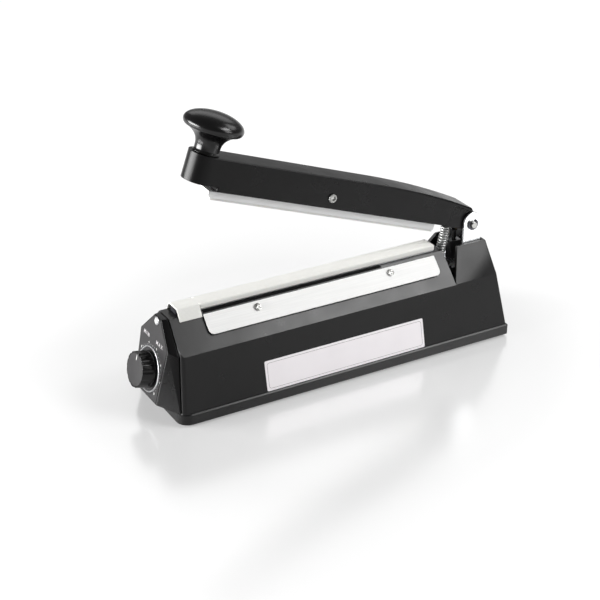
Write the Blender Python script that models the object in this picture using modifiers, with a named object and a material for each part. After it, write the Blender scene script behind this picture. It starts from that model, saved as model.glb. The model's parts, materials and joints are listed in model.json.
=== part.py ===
"""Impulse heat sealer: a bench sealer for bags, with a hinged arm, a heated bed and a timer dial.

The base lies along X with the dial at -X and the hinge at +X, and Z is up. Metres throughout.
Heights are measured from the underside of the housing's lip, and the feet stand proud below it.
"""
import math

import bmesh
import bpy
from mathutils import Matrix, Vector

# Fits
CLEARANCE = 0.0003
RUNNING_GAP = 0.0006
OVERRUN = 0.0010
HOLE_DEPTH = 0.0200

# Housing
BASE_LENGTH = 0.290
BASE_WIDTH = 0.080
LIP_HEIGHT = 0.0084
LIP_STEP = 0.0014
LIP_CORNER = 0.009
LIP_CORNER_HINGE = 0.0018
LIP_ROUND = 0.0008
SHOULDER_HEIGHT = 0.0506
SHOULDER_HALF = 0.0295
CROWN_ABOVE_DECK = 0.0041
CROWN_HALF = 0.0156
CROWN_ROUND = 0.0008
DIAL_DRAUGHT = 0.0070
HINGE_DRAUGHT_LOW = 0.0054
HINGE_DRAUGHT_HIGH = 0.0027
WALL_CORNER = 0.0040
WALL_CORNER_HINGE = 0.0014
WALL = 0.0025
DECK_HEIGHT = 0.0714
DECK_HALF = 0.0085
DECK_THICKNESS = 0.0030
NOTCH_FROM_END = 0.0461
NOTCH_LEAN = 21.0
NOTCH_LIFT = 0.0006
SLOT_HALF = 0.0136
SLOT_REAR_RIM = 0.0030
DIAL_OPENING_HALF = 0.0225
DIAL_OPENING_LOW = 0.0120
DIAL_OPENING_HIGH = 0.0500

# Underside
FOOT_PROUD = 0.0020
FOOT_RADIUS = 0.0058
FOOT_WEB = 0.0009
FOOT_ROUND = 0.0006
FOOT_TAPER = 0.0008
BOTTOM_PLATE = 0.0012
BOTTOM_RECESS = 0.0006
PILLAR_RADIUS = 0.0045
PILLAR_TOP = 0.0300
PILLAR_FROM_END = 0.0220
BASE_SCREW_RADIUS = 0.0014
BASE_SCREW_HEAD = 0.0028
BASE_SCREW_LENGTH = 0.0080
VENT_COUNT = 7
VENT_PITCH = 0.0060
VENT_WIDTH = 0.0022
VENT_LENGTH = 0.0300

# Dial end
CAP_INSET = 0.0016
CAP_WALL = 0.0022
CAP_ROUND = 0.0006
PANEL_LOW_HEIGHT = 0.0109
PANEL_LOW_HALF = 0.0190
PANEL_LOW_REACH = 0.0105
PANEL_MID_ABOVE_SHOULDER = 0.0033
PANEL_MID_HALF = 0.0231
PANEL_TOP_BELOW_DECK = 0.0001
PANEL_TOP_HALF = 0.0057
PANEL_LEAN = 12.36
DIAL_HEIGHT = 0.0310
KNOB_RADIUS = 0.0140
KNOB_FRONT_RADIUS = 0.0134
KNOB_DEPTH = 0.0120
KNOB_EDGE = 0.0012
KNOB_FLUTES = 12
KNOB_FLUTE_RADIUS = 0.0011
KNOB_SKIRT = 0.0015
POINTER_WIDTH = 0.0012
POINTER_DEPTH = 0.0006
BEZEL_RADIUS = 0.0178
BEZEL_WIDTH = 0.0021
BEZEL_HEIGHT = 0.0010
POT_SHAFT_RADIUS = 0.0030
POT_BUSH_RADIUS = 0.0042
POT_SIZE = 0.0165
POT_DEPTH = 0.0085
POT_NUT_RADIUS = 0.0066
POT_NUT_HEIGHT = 0.0020
BOARD_WIDTH = 0.0400
BOARD_HEIGHT = 0.0300
BOARD_THICKNESS = 0.0016
RELAY_HEIGHT = 0.0110
CAPACITOR_RADIUS = 0.0042
CAPACITOR_HEIGHT = 0.0120
LENS_RADIUS = 0.0022
LENS_DOME = 0.0014
LENS_TAIL = 0.0006
LENS_BELOW_TOP = 0.00306

# Heater
BED_HALF = 0.0062
BED_HEIGHT = 0.0038
BED_CORNER = 0.0004
BED_GAP_AT_NOTCH = 0.0069
BED_FROM_DIAL_END = 0.0175
TAPE_HALF = 0.0050
TAPE_THICKNESS = 0.0002
ELEMENT_HALF = 0.0025
ELEMENT_THICKNESS = 0.0002
ELEMENT_FOLD = 0.0020
TERMINAL_HALF = 0.0040
TERMINAL_THICKNESS = 0.0015
CLOTH_THICKNESS = 0.0004
CLOTH_SIDE = 0.0040
CLOTH_TAB_DROP = 0.00415
CLOTH_TAB = 0.0180
CLOTH_OVERHANG = 0.0029
CLAMP_LENGTH = 0.2004
CLAMP_CENTRE_FROM_END = 0.1565
CLAMP_DROP = 0.00275
CLAMP_WIDTH = 0.0163
CLAMP_THICKNESS = 0.0012
CLAMP_CORNER = 0.0040
CLAMP_SCREW_SPACING = 0.1154
CLAMP_SCREW_DROP = 0.00765
CLAMP_SCREW_HEAD = 0.0029
CLAMP_SCREW_HEAD_HEIGHT = 0.0013
CLAMP_SCREW_RADIUS = 0.0014
CLAMP_SCREW_LENGTH = 0.0060
SCREW_SLOT_WIDTH = 0.0006
SCREW_SLOT_DEPTH = 0.0006

# Hinge
HINGE_FROM_END = 0.0214
HINGE_ABOVE_DECK = 0.0189
EAR_OUTER = 0.0130
EAR_THICKNESS = 0.0020
EAR_RADIUS = 0.0080
EAR_RISE = 0.0019
BRACKET_BELOW_HINGE = 0.0343
BRACKET_THICKNESS = 0.0020
BRACKET_FRONT = 0.0290
RIB_THICKNESS = 0.0050
RIB_DEPTH = 0.0105
RIB_SPACING = 0.0180
PIN_RADIUS = 0.0026
PIN_END = 0.0018
BRACKET_SCREW_HEIGHT = 0.0016
CLIP_OUTER = 0.0046
CLIP_THICKNESS = 0.0009
CLIP_GAP = 80.0
BUSH_WALL = 0.0015
SPRING_RADIUS = 0.0034
SPRING_WIRE = 0.0006
SPRING_TURNS = 15
SPRING_POINTS = 9
SPRING_FLAT = 0.15
SPRING_LEAN = 0.0055
SWITCH_FORWARD = 0.0080
SWITCH_LENGTH = 0.0110
SWITCH_HALF = 0.0030
SWITCH_HEIGHT = 0.0157
PLUNGER_RADIUS = 0.0016
PLUNGER_CAP = 0.0026
PLUNGER_CAP_HEIGHT = 0.0014
PLUNGER_TRAVEL = 0.0025

# Arm, measured along it from the hinge (out) and square to it (up)
ARM_OPEN = 19.5
ARM_HALF = 0.01256
ARM_WALL = 0.0020
ARM_ROUND = 0.0012
ARM_JOIN = 0.0050
ARM_EASE = 0.0001
ARM_TOP = 0.0190
ARM_BOTTOM = -0.0051
ARM_REACH = 0.2440
ARM_CROWN_START = 0.1000
ARM_CROWN_DROP = 0.0042
ARM_CROWN_POWER = 2.2
ARM_SHOULDER = 0.0220
ARM_HEEL = 0.0050
ARM_SKIN_END = 0.0040
ARM_TAIL_RADIUS = 0.0072
TAIL_STEP = 0.0010
BOSS_BOTTOM = -0.0017
BOSS_STEP = 0.0100
SEAT_NEAR = 0.0045
SEAT_FAR = 0.0260
SEAT_BOTTOM = -0.0060
SEAT_THICKNESS = 0.0025
SPRING_SEAT = 0.0150
KNOB_STEM_RADIUS = 0.0092
KNOB_CAP_RADIUS = 0.0220
KNOB_CAP_LOW = 0.0162
KNOB_CAP_RIM = 0.0038
KNOB_RISE = 0.0294
KNOB_NECK_FLARE = 0.0055
KNOB_LIP = 0.0004
KNOB_UNDER = 0.0040
KNOB_FOOT = 0.0006
HANDLE_BOLT_RADIUS = 0.0030
HANDLE_BOLT_HEAD = 0.0050
HANDLE_BOLT_HEAD_HEIGHT = 0.0030
HANDLE_BOLT_REACH = 0.0120
HANDLE_BOLT_RECESS = 0.0036
SEAL_NEAR = 0.0316
SEAL_FROM_HANDLE = 0.0070
SEAL_HALF = 0.0070
SEAL_TOP = 0.0080
SEAL_BOTTOM = -0.0112
SEAL_NOSE_TOP = -0.0062
SEAL_NOSE_LENGTH = 0.0090
SEAL_NOSE_ROUND = 0.0030
STRIP_HALF = 0.0060
STRIP_THICKNESS = 0.0015
STRIP_ROUND = 0.0004
BAR_BOLT_FROM_HANDLE = 0.1066
BAR_BOLT_UP = 0.0036
BAR_BOLT_RADIUS = 0.0020
BAR_BOLT_HEAD = 0.0034
BAR_BOLT_HEAD_HEIGHT = 0.0013
BAR_NUT_HEIGHT = 0.0018
SPACER_RADIUS = 0.0040

# Inside the base
TRANSFORMER_FROM_HINGE_END = 0.0990
CORE_LENGTH = 0.0520
CORE_WIDTH = 0.0340
CORE_HEIGHT = 0.0430
CORE_LIMB = 0.0160
CORE_WINDOW = 0.0090
CORE_WINDOW_HEIGHT = 0.0260
COIL_OVERHANG = 0.0080
COIL_CORNER = 0.0040
CORD_BUSH_HEIGHT = 0.0170
CORD_BUSH_RADIUS = 0.0050
CORD_BUSH_FLANGE = 0.0070
CORD_BUSH_FLANGE_THICKNESS = 0.0014
CORD_BUSH_BORE = 0.0032
CORD_BUSH_DEPTH = 0.0060
CORD_BUSH_ROUND = 0.0005

# Places worked out from the dimensions
DIAL_END = -BASE_LENGTH / 2
HINGE_END = BASE_LENGTH / 2
NOTCH_X = HINGE_END - NOTCH_FROM_END
CROWN_HEIGHT = DECK_HEIGHT + CROWN_ABOVE_DECK
HINGE_X = HINGE_END - HINGE_FROM_END
HINGE_HEIGHT = DECK_HEIGHT + HINGE_ABOVE_DECK
BRACKET_HEIGHT = HINGE_HEIGHT - BRACKET_BELOW_HINGE
SEAL_FAR = ARM_REACH - SEAL_FROM_HANDLE
SEAL_NOSE_START = SEAL_FAR - SEAL_NOSE_LENGTH
BAR_BOLT_OUT = ARM_REACH - BAR_BOLT_FROM_HANDLE
BED_TOP_HEIGHT = DECK_HEIGHT + BED_HEIGHT
CLAMP_X = HINGE_END - CLAMP_CENTRE_FROM_END
BED_START = DIAL_END + BED_FROM_DIAL_END
BED_END = NOTCH_X - BED_GAP_AT_NOTCH
OPEN_ANGLE = math.radians(ARM_OPEN)
LEAN_ANGLE = math.radians(PANEL_LEAN)
TOWER_SLOPE = math.atan2(SHOULDER_HALF - CROWN_HALF, CROWN_HEIGHT - SHOULDER_HEIGHT)
SLOPE_FOOT = SHOULDER_HALF - CLEARANCE
SLOPE = math.atan2(SLOPE_FOOT - DECK_HALF, DECK_HEIGHT - SHOULDER_HEIGHT)
SLOPE_LENGTH = (DECK_HEIGHT - SHOULDER_HEIGHT) / math.cos(SLOPE)
CLOTH_HEM = SLOPE_LENGTH - CLOTH_TAB_DROP
CLAMP_HIGH = SLOPE_LENGTH - CLAMP_DROP
CLAMP_LOW = CLAMP_HIGH - CLAMP_WIDTH
CLAMP_SCREW_UP = SLOPE_LENGTH - CLAMP_SCREW_DROP
TAIL_HALF = EAR_OUTER - EAR_THICKNESS - RUNNING_GAP
ELEMENT_LOW = BED_TOP_HEIGHT + CLEARANCE + TAPE_THICKNESS + CLEARANCE
CLOTH_LOW = ELEMENT_LOW + ELEMENT_THICKNESS + CLEARANCE
PANEL_LOW_X = DIAL_END - PANEL_LOW_REACH
PANEL_MID_HEIGHT = SHOULDER_HEIGHT + PANEL_MID_ABOVE_SHOULDER
PANEL_TOP_HEIGHT = DECK_HEIGHT - PANEL_TOP_BELOW_DECK
LENS_ABOVE_DIAL = (PANEL_TOP_HEIGHT - DIAL_HEIGHT) / math.cos(LEAN_ANGLE) - LENS_BELOW_TOP
DIAL_X = PANEL_LOW_X + (DIAL_HEIGHT - PANEL_LOW_HEIGHT) * math.tan(LEAN_ANGLE)
DIAL_REACH = KNOB_DEPTH * math.cos(LEAN_ANGLE) + (KNOB_FRONT_RADIUS - KNOB_EDGE) * math.sin(LEAN_ANGLE)
BOTTOM_TOP = BOTTOM_RECESS + BOTTOM_PLATE

# Wall planes: height, dial-end X, hinge-end X and half width
WALL_LEVELS = (
    (LIP_HEIGHT, DIAL_END + LIP_STEP, HINGE_END - LIP_STEP, BASE_WIDTH / 2 - LIP_STEP),
    (SHOULDER_HEIGHT,
     DIAL_END + LIP_STEP + DIAL_DRAUGHT * (SHOULDER_HEIGHT - LIP_HEIGHT) / (CROWN_HEIGHT - LIP_HEIGHT),
     HINGE_END - LIP_STEP - HINGE_DRAUGHT_LOW, SHOULDER_HALF),
    (CROWN_HEIGHT, DIAL_END + LIP_STEP + DIAL_DRAUGHT,
     HINGE_END - LIP_STEP - HINGE_DRAUGHT_LOW - HINGE_DRAUGHT_HIGH, CROWN_HALF),
)

# How each drawing plane turns into the model: outline axes first, thickness last
PLANES = {
    "XY": Matrix.Identity(4),
    "XZ": Matrix.Rotation(math.pi / 2, 4, "X"),
    "YZ": Matrix(((0, 0, 1, 0), (1, 0, 0, 0), (0, 1, 0, 0), (0, 0, 0, 1))),
}


def clear_scene():
    """Remove every object that the scene starts with."""
    for item in list(bpy.data.objects):
        bpy.data.objects.remove(item, do_unlink=True)


def collection(name):
    """A new collection in the scene."""
    group = bpy.data.collections.new(name)
    bpy.context.scene.collection.children.link(group)
    return group


clear_scene()
PARTS = collection("impulse_heat_sealer")
CUTTERS = collection("cutters")


def finish(name, colour, roughness, metallic=0.0):
    """A Principled material."""
    material = bpy.data.materials.new(name)
    material.use_nodes = True
    shader = material.node_tree.nodes["Principled BSDF"]
    shader.inputs["Base Color"].default_value = (*colour, 1.0)
    shader.inputs["Roughness"].default_value = roughness
    shader.inputs["Metallic"].default_value = metallic
    return material


BLACK_SHELL = finish("black_shell", (0.012, 0.011, 0.013), 0.32)
BLACK_ARM = finish("black_arm", (0.010, 0.010, 0.011), 0.36)
BLACK_GLOSS = finish("black_gloss", (0.008, 0.008, 0.009), 0.22)
WHITE_PLATE = finish("white_plate", (0.80, 0.80, 0.77), 0.35)
CLOTH = finish("release_cloth", (0.74, 0.73, 0.68), 0.55)
SILICONE = finish("silicone", (0.82, 0.82, 0.80), 0.50)
STEEL = finish("bright_steel", (0.78, 0.78, 0.78), 0.28, 1.0)
SPRING_STEEL = finish("spring_steel", (0.55, 0.55, 0.55), 0.30, 1.0)
DARK_STEEL = finish("dark_steel", (0.10, 0.10, 0.11), 0.40, 1.0)
ALUMINIUM = finish("aluminium", (0.70, 0.70, 0.71), 0.35, 1.0)
BRASS = finish("brass", (0.72, 0.55, 0.25), 0.30, 1.0)
NICHROME = finish("nichrome", (0.45, 0.43, 0.41), 0.40, 1.0)
TAPE = finish("glass_tape", (0.62, 0.50, 0.33), 0.60)
RUBBER = finish("rubber", (0.02, 0.02, 0.02), 0.80)
LENS_PALE = finish("lens_pale", (0.72, 0.72, 0.70), 0.12)
BOARD_GREEN = finish("board_green", (0.05, 0.20, 0.09), 0.45)
COIL_AMBER = finish("coil_amber", (0.60, 0.36, 0.10), 0.45)
CORE_GREY = finish("core_grey", (0.18, 0.18, 0.19), 0.50, 0.6)


def pivot(name, location, rotation=(0.0, 0.0, 0.0), parent=None):
    """An empty that carries a group of pieces."""
    empty = bpy.data.objects.new(name, None)
    empty.location = location
    empty.rotation_euler = rotation
    empty.parent = parent
    PARTS.objects.link(empty)
    return empty


BODY_CENTRE = -(DIAL_X - DIAL_REACH + HINGE_END) / 2
BASE = pivot("base_frame", (BODY_CENTRE, 0.0, FOOT_PROUD))
ARM_AXIS = pivot("arm_axis", (HINGE_X, 0.0, HINGE_HEIGHT), (0.0, OPEN_ANGLE, 0.0), BASE)
DIAL_AXIS = pivot("dial_axis", (DIAL_X, 0.0, DIAL_HEIGHT), (0.0, LEAN_ANGLE - math.pi / 2, 0.0), BASE)


def place(name, mesh, material, location=(0.0, 0.0, 0.0), rotation=(0.0, 0.0, 0.0), parent=None):
    """A named piece with its mesh, material and place."""
    piece = bpy.data.objects.new(name, mesh)
    piece.location = location
    piece.rotation_euler = rotation
    piece.parent = parent or BASE
    if material:
        mesh.materials.append(material)
    PARTS.objects.link(piece)
    return piece


def boolean(piece, tool, operation):
    """Cut or join a piece with a tool, which moves to the cutters."""
    tool.hide_render = True
    tool.display_type = "WIRE"
    if tool.name in PARTS.objects:
        PARTS.objects.unlink(tool)
        CUTTERS.objects.link(tool)
    modifier = piece.modifiers.new(tool.name, "BOOLEAN")
    modifier.object = tool
    modifier.operation = operation
    modifier.solver = "EXACT"


def cut(piece, *tools):
    """Take each tool away from the piece."""
    for tool in tools:
        boolean(piece, tool, "DIFFERENCE")


def join(piece, *tools):
    """Add each tool to the piece."""
    for tool in tools:
        boolean(piece, tool, "UNION")


def soften(piece, width, segments=2, angle=30.0):
    """Round a piece's sharp edges."""
    modifier = piece.modifiers.new("soften", "BEVEL")
    modifier.width = width
    modifier.segments = segments
    modifier.limit_method = "ANGLE"
    modifier.angle_limit = math.radians(angle)


def smooth(mesh, angle=35.0):
    """Shade a mesh smooth, apart from its sharp edges."""
    mesh.shade_smooth()
    mesh.set_sharp_from_angle(angle=math.radians(angle))


def mesh_of(name, bm):
    """A mesh from edited geometry, with its faces pointing out."""
    bmesh.ops.recalc_face_normals(bm, faces=bm.faces)
    mesh = bpy.data.meshes.new(name)
    bm.to_mesh(mesh)
    bm.free()
    return mesh


def box(name, low, high, material=None, parent=None):
    """A box between two corners."""
    low, high = Vector(low), Vector(high)
    bm = bmesh.new()
    bmesh.ops.create_cube(bm, size=1.0)
    bmesh.ops.scale(bm, vec=high - low, verts=bm.verts)
    bmesh.ops.translate(bm, vec=(high + low) / 2, verts=bm.verts)
    return place(name, mesh_of(name, bm), material, parent=parent)


def rod(name, radius, low, high, material=None, location=(0.0, 0.0, 0.0), along="Z", segments=24,
        parent=None):
    """A cylinder from low to high along an axis through a point."""
    bm = bmesh.new()
    bmesh.ops.create_cone(bm, cap_ends=True, segments=segments, radius1=radius, radius2=radius,
                          depth=high - low)
    bmesh.ops.translate(bm, vec=(0.0, 0.0, (high + low) / 2), verts=bm.verts)
    turn = {"Z": Matrix.Identity(3), "Y": Matrix.Rotation(-math.pi / 2, 3, "X"),
            "X": Matrix.Rotation(math.pi / 2, 3, "Y")}[along]
    bmesh.ops.rotate(bm, cent=(0.0, 0.0, 0.0), matrix=turn, verts=bm.verts)
    mesh = mesh_of(name, bm)
    smooth(mesh)
    return place(name, mesh, material, location, parent=parent)


def turned(name, profile, material, location=(0.0, 0.0, 0.0), rotation=(0.0, 0.0, 0.0), steps=32,
           closed=False, parent=None):
    """A profile of (radius, height), from the top down its outer side, turned about Z."""
    mesh = bpy.data.meshes.new(name)
    count = len(profile)
    edges = [(i, i + 1) for i in range(count - 1)]
    if closed:
        edges.append((count - 1, 0))
    mesh.from_pydata([(radius, 0.0, height) for radius, height in profile], edges, [])
    piece = place(name, mesh, material, location, rotation, parent)
    screw = piece.modifiers.new("turn", "SCREW")
    screw.steps = steps
    screw.render_steps = steps
    screw.use_merge_vertices = True
    screw.merge_threshold = 1e-6
    screw.use_smooth_shade = True
    return piece


def extruded(name, outline, low, high, plane, material=None, parent=None, location=(0.0, 0.0, 0.0)):
    """A closed outline in a plane, given thickness from low to high across it."""
    curve = bpy.data.curves.new(name, "CURVE")
    curve.dimensions = "2D"
    curve.fill_mode = "BOTH"
    curve.extrude = (high - low) / 2
    spline = curve.splines.new("POLY")
    spline.points.add(len(outline) - 1)
    for point, (across, up) in zip(spline.points, outline):
        point.co = (across, up, 0.0, 1.0)
    spline.use_cyclic_u = True
    guide = bpy.data.objects.new(name, curve)
    CUTTERS.objects.link(guide)
    depsgraph = bpy.context.evaluated_depsgraph_get()
    mesh = bpy.data.meshes.new_from_object(guide.evaluated_get(depsgraph))
    bpy.data.objects.remove(guide)
    bm = bmesh.new()
    bm.from_mesh(mesh)
    bmesh.ops.remove_doubles(bm, verts=bm.verts, dist=1e-6)
    bmesh.ops.dissolve_limit(bm, angle_limit=0.001, verts=bm.verts, edges=bm.edges)
    bmesh.ops.translate(bm, vec=(0.0, 0.0, (high + low) / 2), verts=bm.verts)
    bmesh.ops.transform(bm, matrix=PLANES[plane], verts=bm.verts)
    solid = mesh_of(name, bm)
    smooth(solid)
    return place(name, solid, material, location, parent=parent)


def loft(name, rings, material=None, parent=None):
    """A closed solid through rings of points, one above the other."""
    bm = bmesh.new()
    rows = [[bm.verts.new(point) for point in ring] for ring in rings]
    count = len(rings[0])
    for lower, upper in zip(rows, rows[1:]):
        for i in range(count):
            j = (i + 1) % count
            bm.faces.new((lower[i], lower[j], upper[j], upper[i]))
    bm.faces.new(reversed(rows[0]))
    bm.faces.new(rows[-1])
    mesh = mesh_of(name, bm)
    smooth(mesh, 25.0)
    return place(name, mesh, material, parent=parent)


def arc(centre, radius, start, end, steps):
    """Points on an arc, with angles in degrees."""
    points = []
    for i in range(steps + 1):
        angle = math.radians(start + (end - start) * i / steps)
        points.append((centre[0] + radius * math.cos(angle), centre[1] + radius * math.sin(angle)))
    return points


def rounded_rectangle(x0, x1, half, radius, steps=5, far_radius=None):
    """A rectangle's outline with round corners, which may have another radius at its far end."""
    far = radius if far_radius is None else far_radius
    return (arc((x1 - far, half - far), far, 0, 90, steps)
            + arc((x0 + radius, half - radius), radius, 90, 180, steps)
            + arc((x0 + radius, radius - half), radius, 180, 270, steps)
            + arc((x1 - far, far - half), far, 270, 360, steps))


def ring_at(height, x0, x1, half, radius, far_radius=None):
    """A rounded rectangle at a height."""
    outline = rounded_rectangle(x0, x1, half, radius, far_radius=far_radius)
    return [(x, y, height) for x, y in outline]


def wall_at(height):
    """The housing's outer X limits and half width at a height."""
    for lower, upper in zip(WALL_LEVELS, WALL_LEVELS[1:]):
        if height <= upper[0] or upper is WALL_LEVELS[-1]:
            share = max(0.0, (height - lower[0]) / (upper[0] - lower[0]))
            return [low + share * (high - low) for low, high in zip(lower[1:], upper[1:])]


def slope_point(up, out):
    """A point on the shoulder slope: distance up it from its lower edge and out from its face."""
    half = SLOPE_FOOT - up * math.sin(SLOPE) + out * math.cos(SLOPE)
    return half, SHOULDER_HEIGHT + up * math.cos(SLOPE) + out * math.sin(SLOPE)


def inner_ring(height, half):
    """The wall's inner outline at a height, for a half width."""
    x0, x1, _ = wall_at(height)
    return ring_at(height, x0 + WALL, x1 - WALL, half, WALL_CORNER - WALL / 2)


def outer_rings():
    """The housing's outside, from the lip to the crown."""
    lip_half = BASE_WIDTH / 2
    rings = [
        ring_at(0.0, DIAL_END, HINGE_END, lip_half, LIP_CORNER, LIP_CORNER_HINGE),
        ring_at(LIP_HEIGHT - LIP_ROUND, DIAL_END, HINGE_END, lip_half, LIP_CORNER, LIP_CORNER_HINGE),
        ring_at(LIP_HEIGHT, DIAL_END + LIP_ROUND, HINGE_END - LIP_ROUND, lip_half - LIP_ROUND,
                LIP_CORNER - LIP_ROUND, LIP_CORNER_HINGE - LIP_ROUND),
    ]
    for height, x0, x1, half in WALL_LEVELS[:-1]:
        rings.append(ring_at(height, x0, x1, half, WALL_CORNER, WALL_CORNER_HINGE))
    x0, x1, half = wall_at(CROWN_HEIGHT - CROWN_ROUND)
    rings.append(ring_at(CROWN_HEIGHT - CROWN_ROUND, x0, x1, half, WALL_CORNER, WALL_CORNER_HINGE))
    rings.append(ring_at(CROWN_HEIGHT, x0 + CROWN_ROUND, x1 - CROWN_ROUND, half - CROWN_ROUND,
                         WALL_CORNER - CROWN_ROUND, WALL_CORNER_HINGE - CROWN_ROUND))
    return rings


def pillar_places():
    """Where the four base screws go, with a name for each corner."""
    y = wall_at(PILLAR_TOP)[2] - WALL - 0.6 * PILLAR_RADIUS
    for end, x in (("dial", DIAL_END + PILLAR_FROM_END), ("hinge", HINGE_END - PILLAR_FROM_END)):
        for side, sign in (("front", -1), ("rear", 1)):
            yield f"{end}_{side}", x, sign * y


def rib_places():
    """X of the two cross ribs that carry the hinge bracket."""
    return HINGE_X - RIB_SPACING, HINGE_X


def clamp_frame(side):
    """The empty on a shoulder slope: X along it, Y up the slope, Z out of it."""
    sign = -1 if side == "front" else 1
    half, height = slope_point(0.0, 0.0)
    turn = (math.pi / 2 - SLOPE, 0.0, 0.0 if side == "front" else math.pi)
    return pivot(f"slope_{side}", (CLAMP_X, sign * half, height), turn, BASE)


SLOPES = {side: clamp_frame(side) for side in ("front", "rear")}


def make_housing():
    """The moulded shell: sloping shoulders, deck, notch and the tower that holds the hinge."""
    shell = loft("housing", outer_rings(), BLACK_SHELL)
    deck_under = DECK_HEIGHT - DECK_THICKNESS
    deck_up = (deck_under - SHOULDER_HEIGHT) / math.cos(SLOPE)
    deck_inner = slope_point(deck_up, 0.0)[0] - WALL / math.cos(SLOPE)
    foot_height = SHOULDER_HEIGHT - WALL * math.tan(SLOPE / 2)
    cavity = loft("cavity", [inner_ring(-OVERRUN, wall_at(0.0)[2] - WALL),
                             inner_ring(LIP_HEIGHT, wall_at(LIP_HEIGHT)[2] - WALL),
                             inner_ring(foot_height, wall_at(foot_height)[2] - WALL),
                             inner_ring(deck_under, deck_inner)])
    tower_rings = []
    for height in (foot_height - 2 * WALL, foot_height, CROWN_HEIGHT - WALL):
        _, x1, half = wall_at(height)
        inset = WALL / math.cos(TOWER_SLOPE)
        tower_rings.append(ring_at(height, NOTCH_X + RUNNING_GAP, x1 - WALL - CLEARANCE, half - inset,
                                   WALL / 2))
    tower = loft("tower_cavity", tower_rings)
    high = CROWN_HEIGHT + HOLE_DEPTH / 2
    far = 2 * WALL
    low_half, low_height = slope_point(-far, 0.0)
    deck = extruded("slope_cut", [(low_half, low_height), (DECK_HALF, DECK_HEIGHT), (-DECK_HALF, DECK_HEIGHT),
                                  (-low_half, low_height), (-low_half, high), (low_half, high)],
                    DIAL_END - far, NOTCH_X + RUNNING_GAP / 2, "YZ")
    notch_low = SHOULDER_HEIGHT + NOTCH_LIFT
    notch_run = (high - notch_low) * math.tan(math.radians(NOTCH_LEAN))
    notch = extruded("notch_cut", [(NOTCH_X, notch_low), (NOTCH_X + notch_run, high), (NOTCH_X, high)],
                     -BASE_WIDTH, BASE_WIDTH, "XZ")
    slot_end = wall_at(CROWN_HEIGHT)[1] - SLOT_REAR_RIM
    slot = box("slot_cut", (NOTCH_X + 2 * WALL, -SLOT_HALF, deck_under), (slot_end, SLOT_HALF, high))
    opening = box("dial_opening", (DIAL_END - WALL, -DIAL_OPENING_HALF, DIAL_OPENING_LOW),
                  (DIAL_END + 4 * WALL + DIAL_DRAUGHT, DIAL_OPENING_HALF, DIAL_OPENING_HIGH))
    cut(shell, cavity, tower)
    for number, x in enumerate(rib_places()):
        top = BRACKET_HEIGHT - CLEARANCE
        rings = []
        for height in (top - RIB_DEPTH, top):
            half = wall_at(height)[2] - WALL / 2
            rings.append([(x + sx * RIB_THICKNESS / 2, sy * half, height)
                          for sx, sy in ((-1, -1), (1, -1), (1, 1), (-1, 1))])
        join(shell, loft(f"rib_{number}", rings))
    for corner, x, y in pillar_places():
        join(shell, rod(f"pillar_{corner}", PILLAR_RADIUS, BOTTOM_TOP + CLEARANCE, PILLAR_TOP,
                        location=(x, y, 0.0), segments=16))
        cut(shell, rod(f"pillar_hole_{corner}", BASE_SCREW_RADIUS + CLEARANCE, 0.0,
                       BOTTOM_TOP + BASE_SCREW_LENGTH, location=(x, y, 0.0), segments=12))
    cut(shell, deck, notch, slot, opening)
    for side, frame in SLOPES.items():
        for end in (-1, 1):
            cut(shell, rod(f"clamp_hole_{side}_{end}", CLAMP_SCREW_RADIUS + CLEARANCE, -CLAMP_SCREW_LENGTH,
                           CLAMP_THICKNESS, location=(end * CLAMP_SCREW_SPACING / 2, CLAMP_SCREW_UP, 0.0),
                           segments=12, parent=frame))
    for number, x in enumerate(rib_places()):
        cut(shell, rod(f"rib_hole_{number}", BASE_SCREW_RADIUS + CLEARANCE, BRACKET_HEIGHT - RIB_DEPTH / 2,
                       BRACKET_HEIGHT, location=(x, bracket_screw_side(number), 0.0), segments=12))
    cut(shell, rod("bush_hole", CORD_BUSH_RADIUS + CLEARANCE, -2 * CORD_BUSH_DEPTH, 2 * CORD_BUSH_DEPTH,
                   segments=24, parent=BUSH_AXIS))


def bracket_screw_side(number):
    """Y of a bracket screw: one on each side of the middle."""
    return (1 if number else -1) * (EAR_OUTER - EAR_THICKNESS) * 0.55


def bush_axis():
    """The empty on the hinge-end wall, square to it, where the cord bush sits."""
    low = WALL_LEVELS[0]
    high = WALL_LEVELS[1]
    lean = math.atan2(low[2] - high[2], high[0] - low[0])
    return pivot("bush_axis", (wall_at(CORD_BUSH_HEIGHT)[1], 0.0, CORD_BUSH_HEIGHT),
                 (0.0, math.pi / 2 - lean, 0.0), BASE)


BUSH_AXIS = bush_axis()


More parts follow.
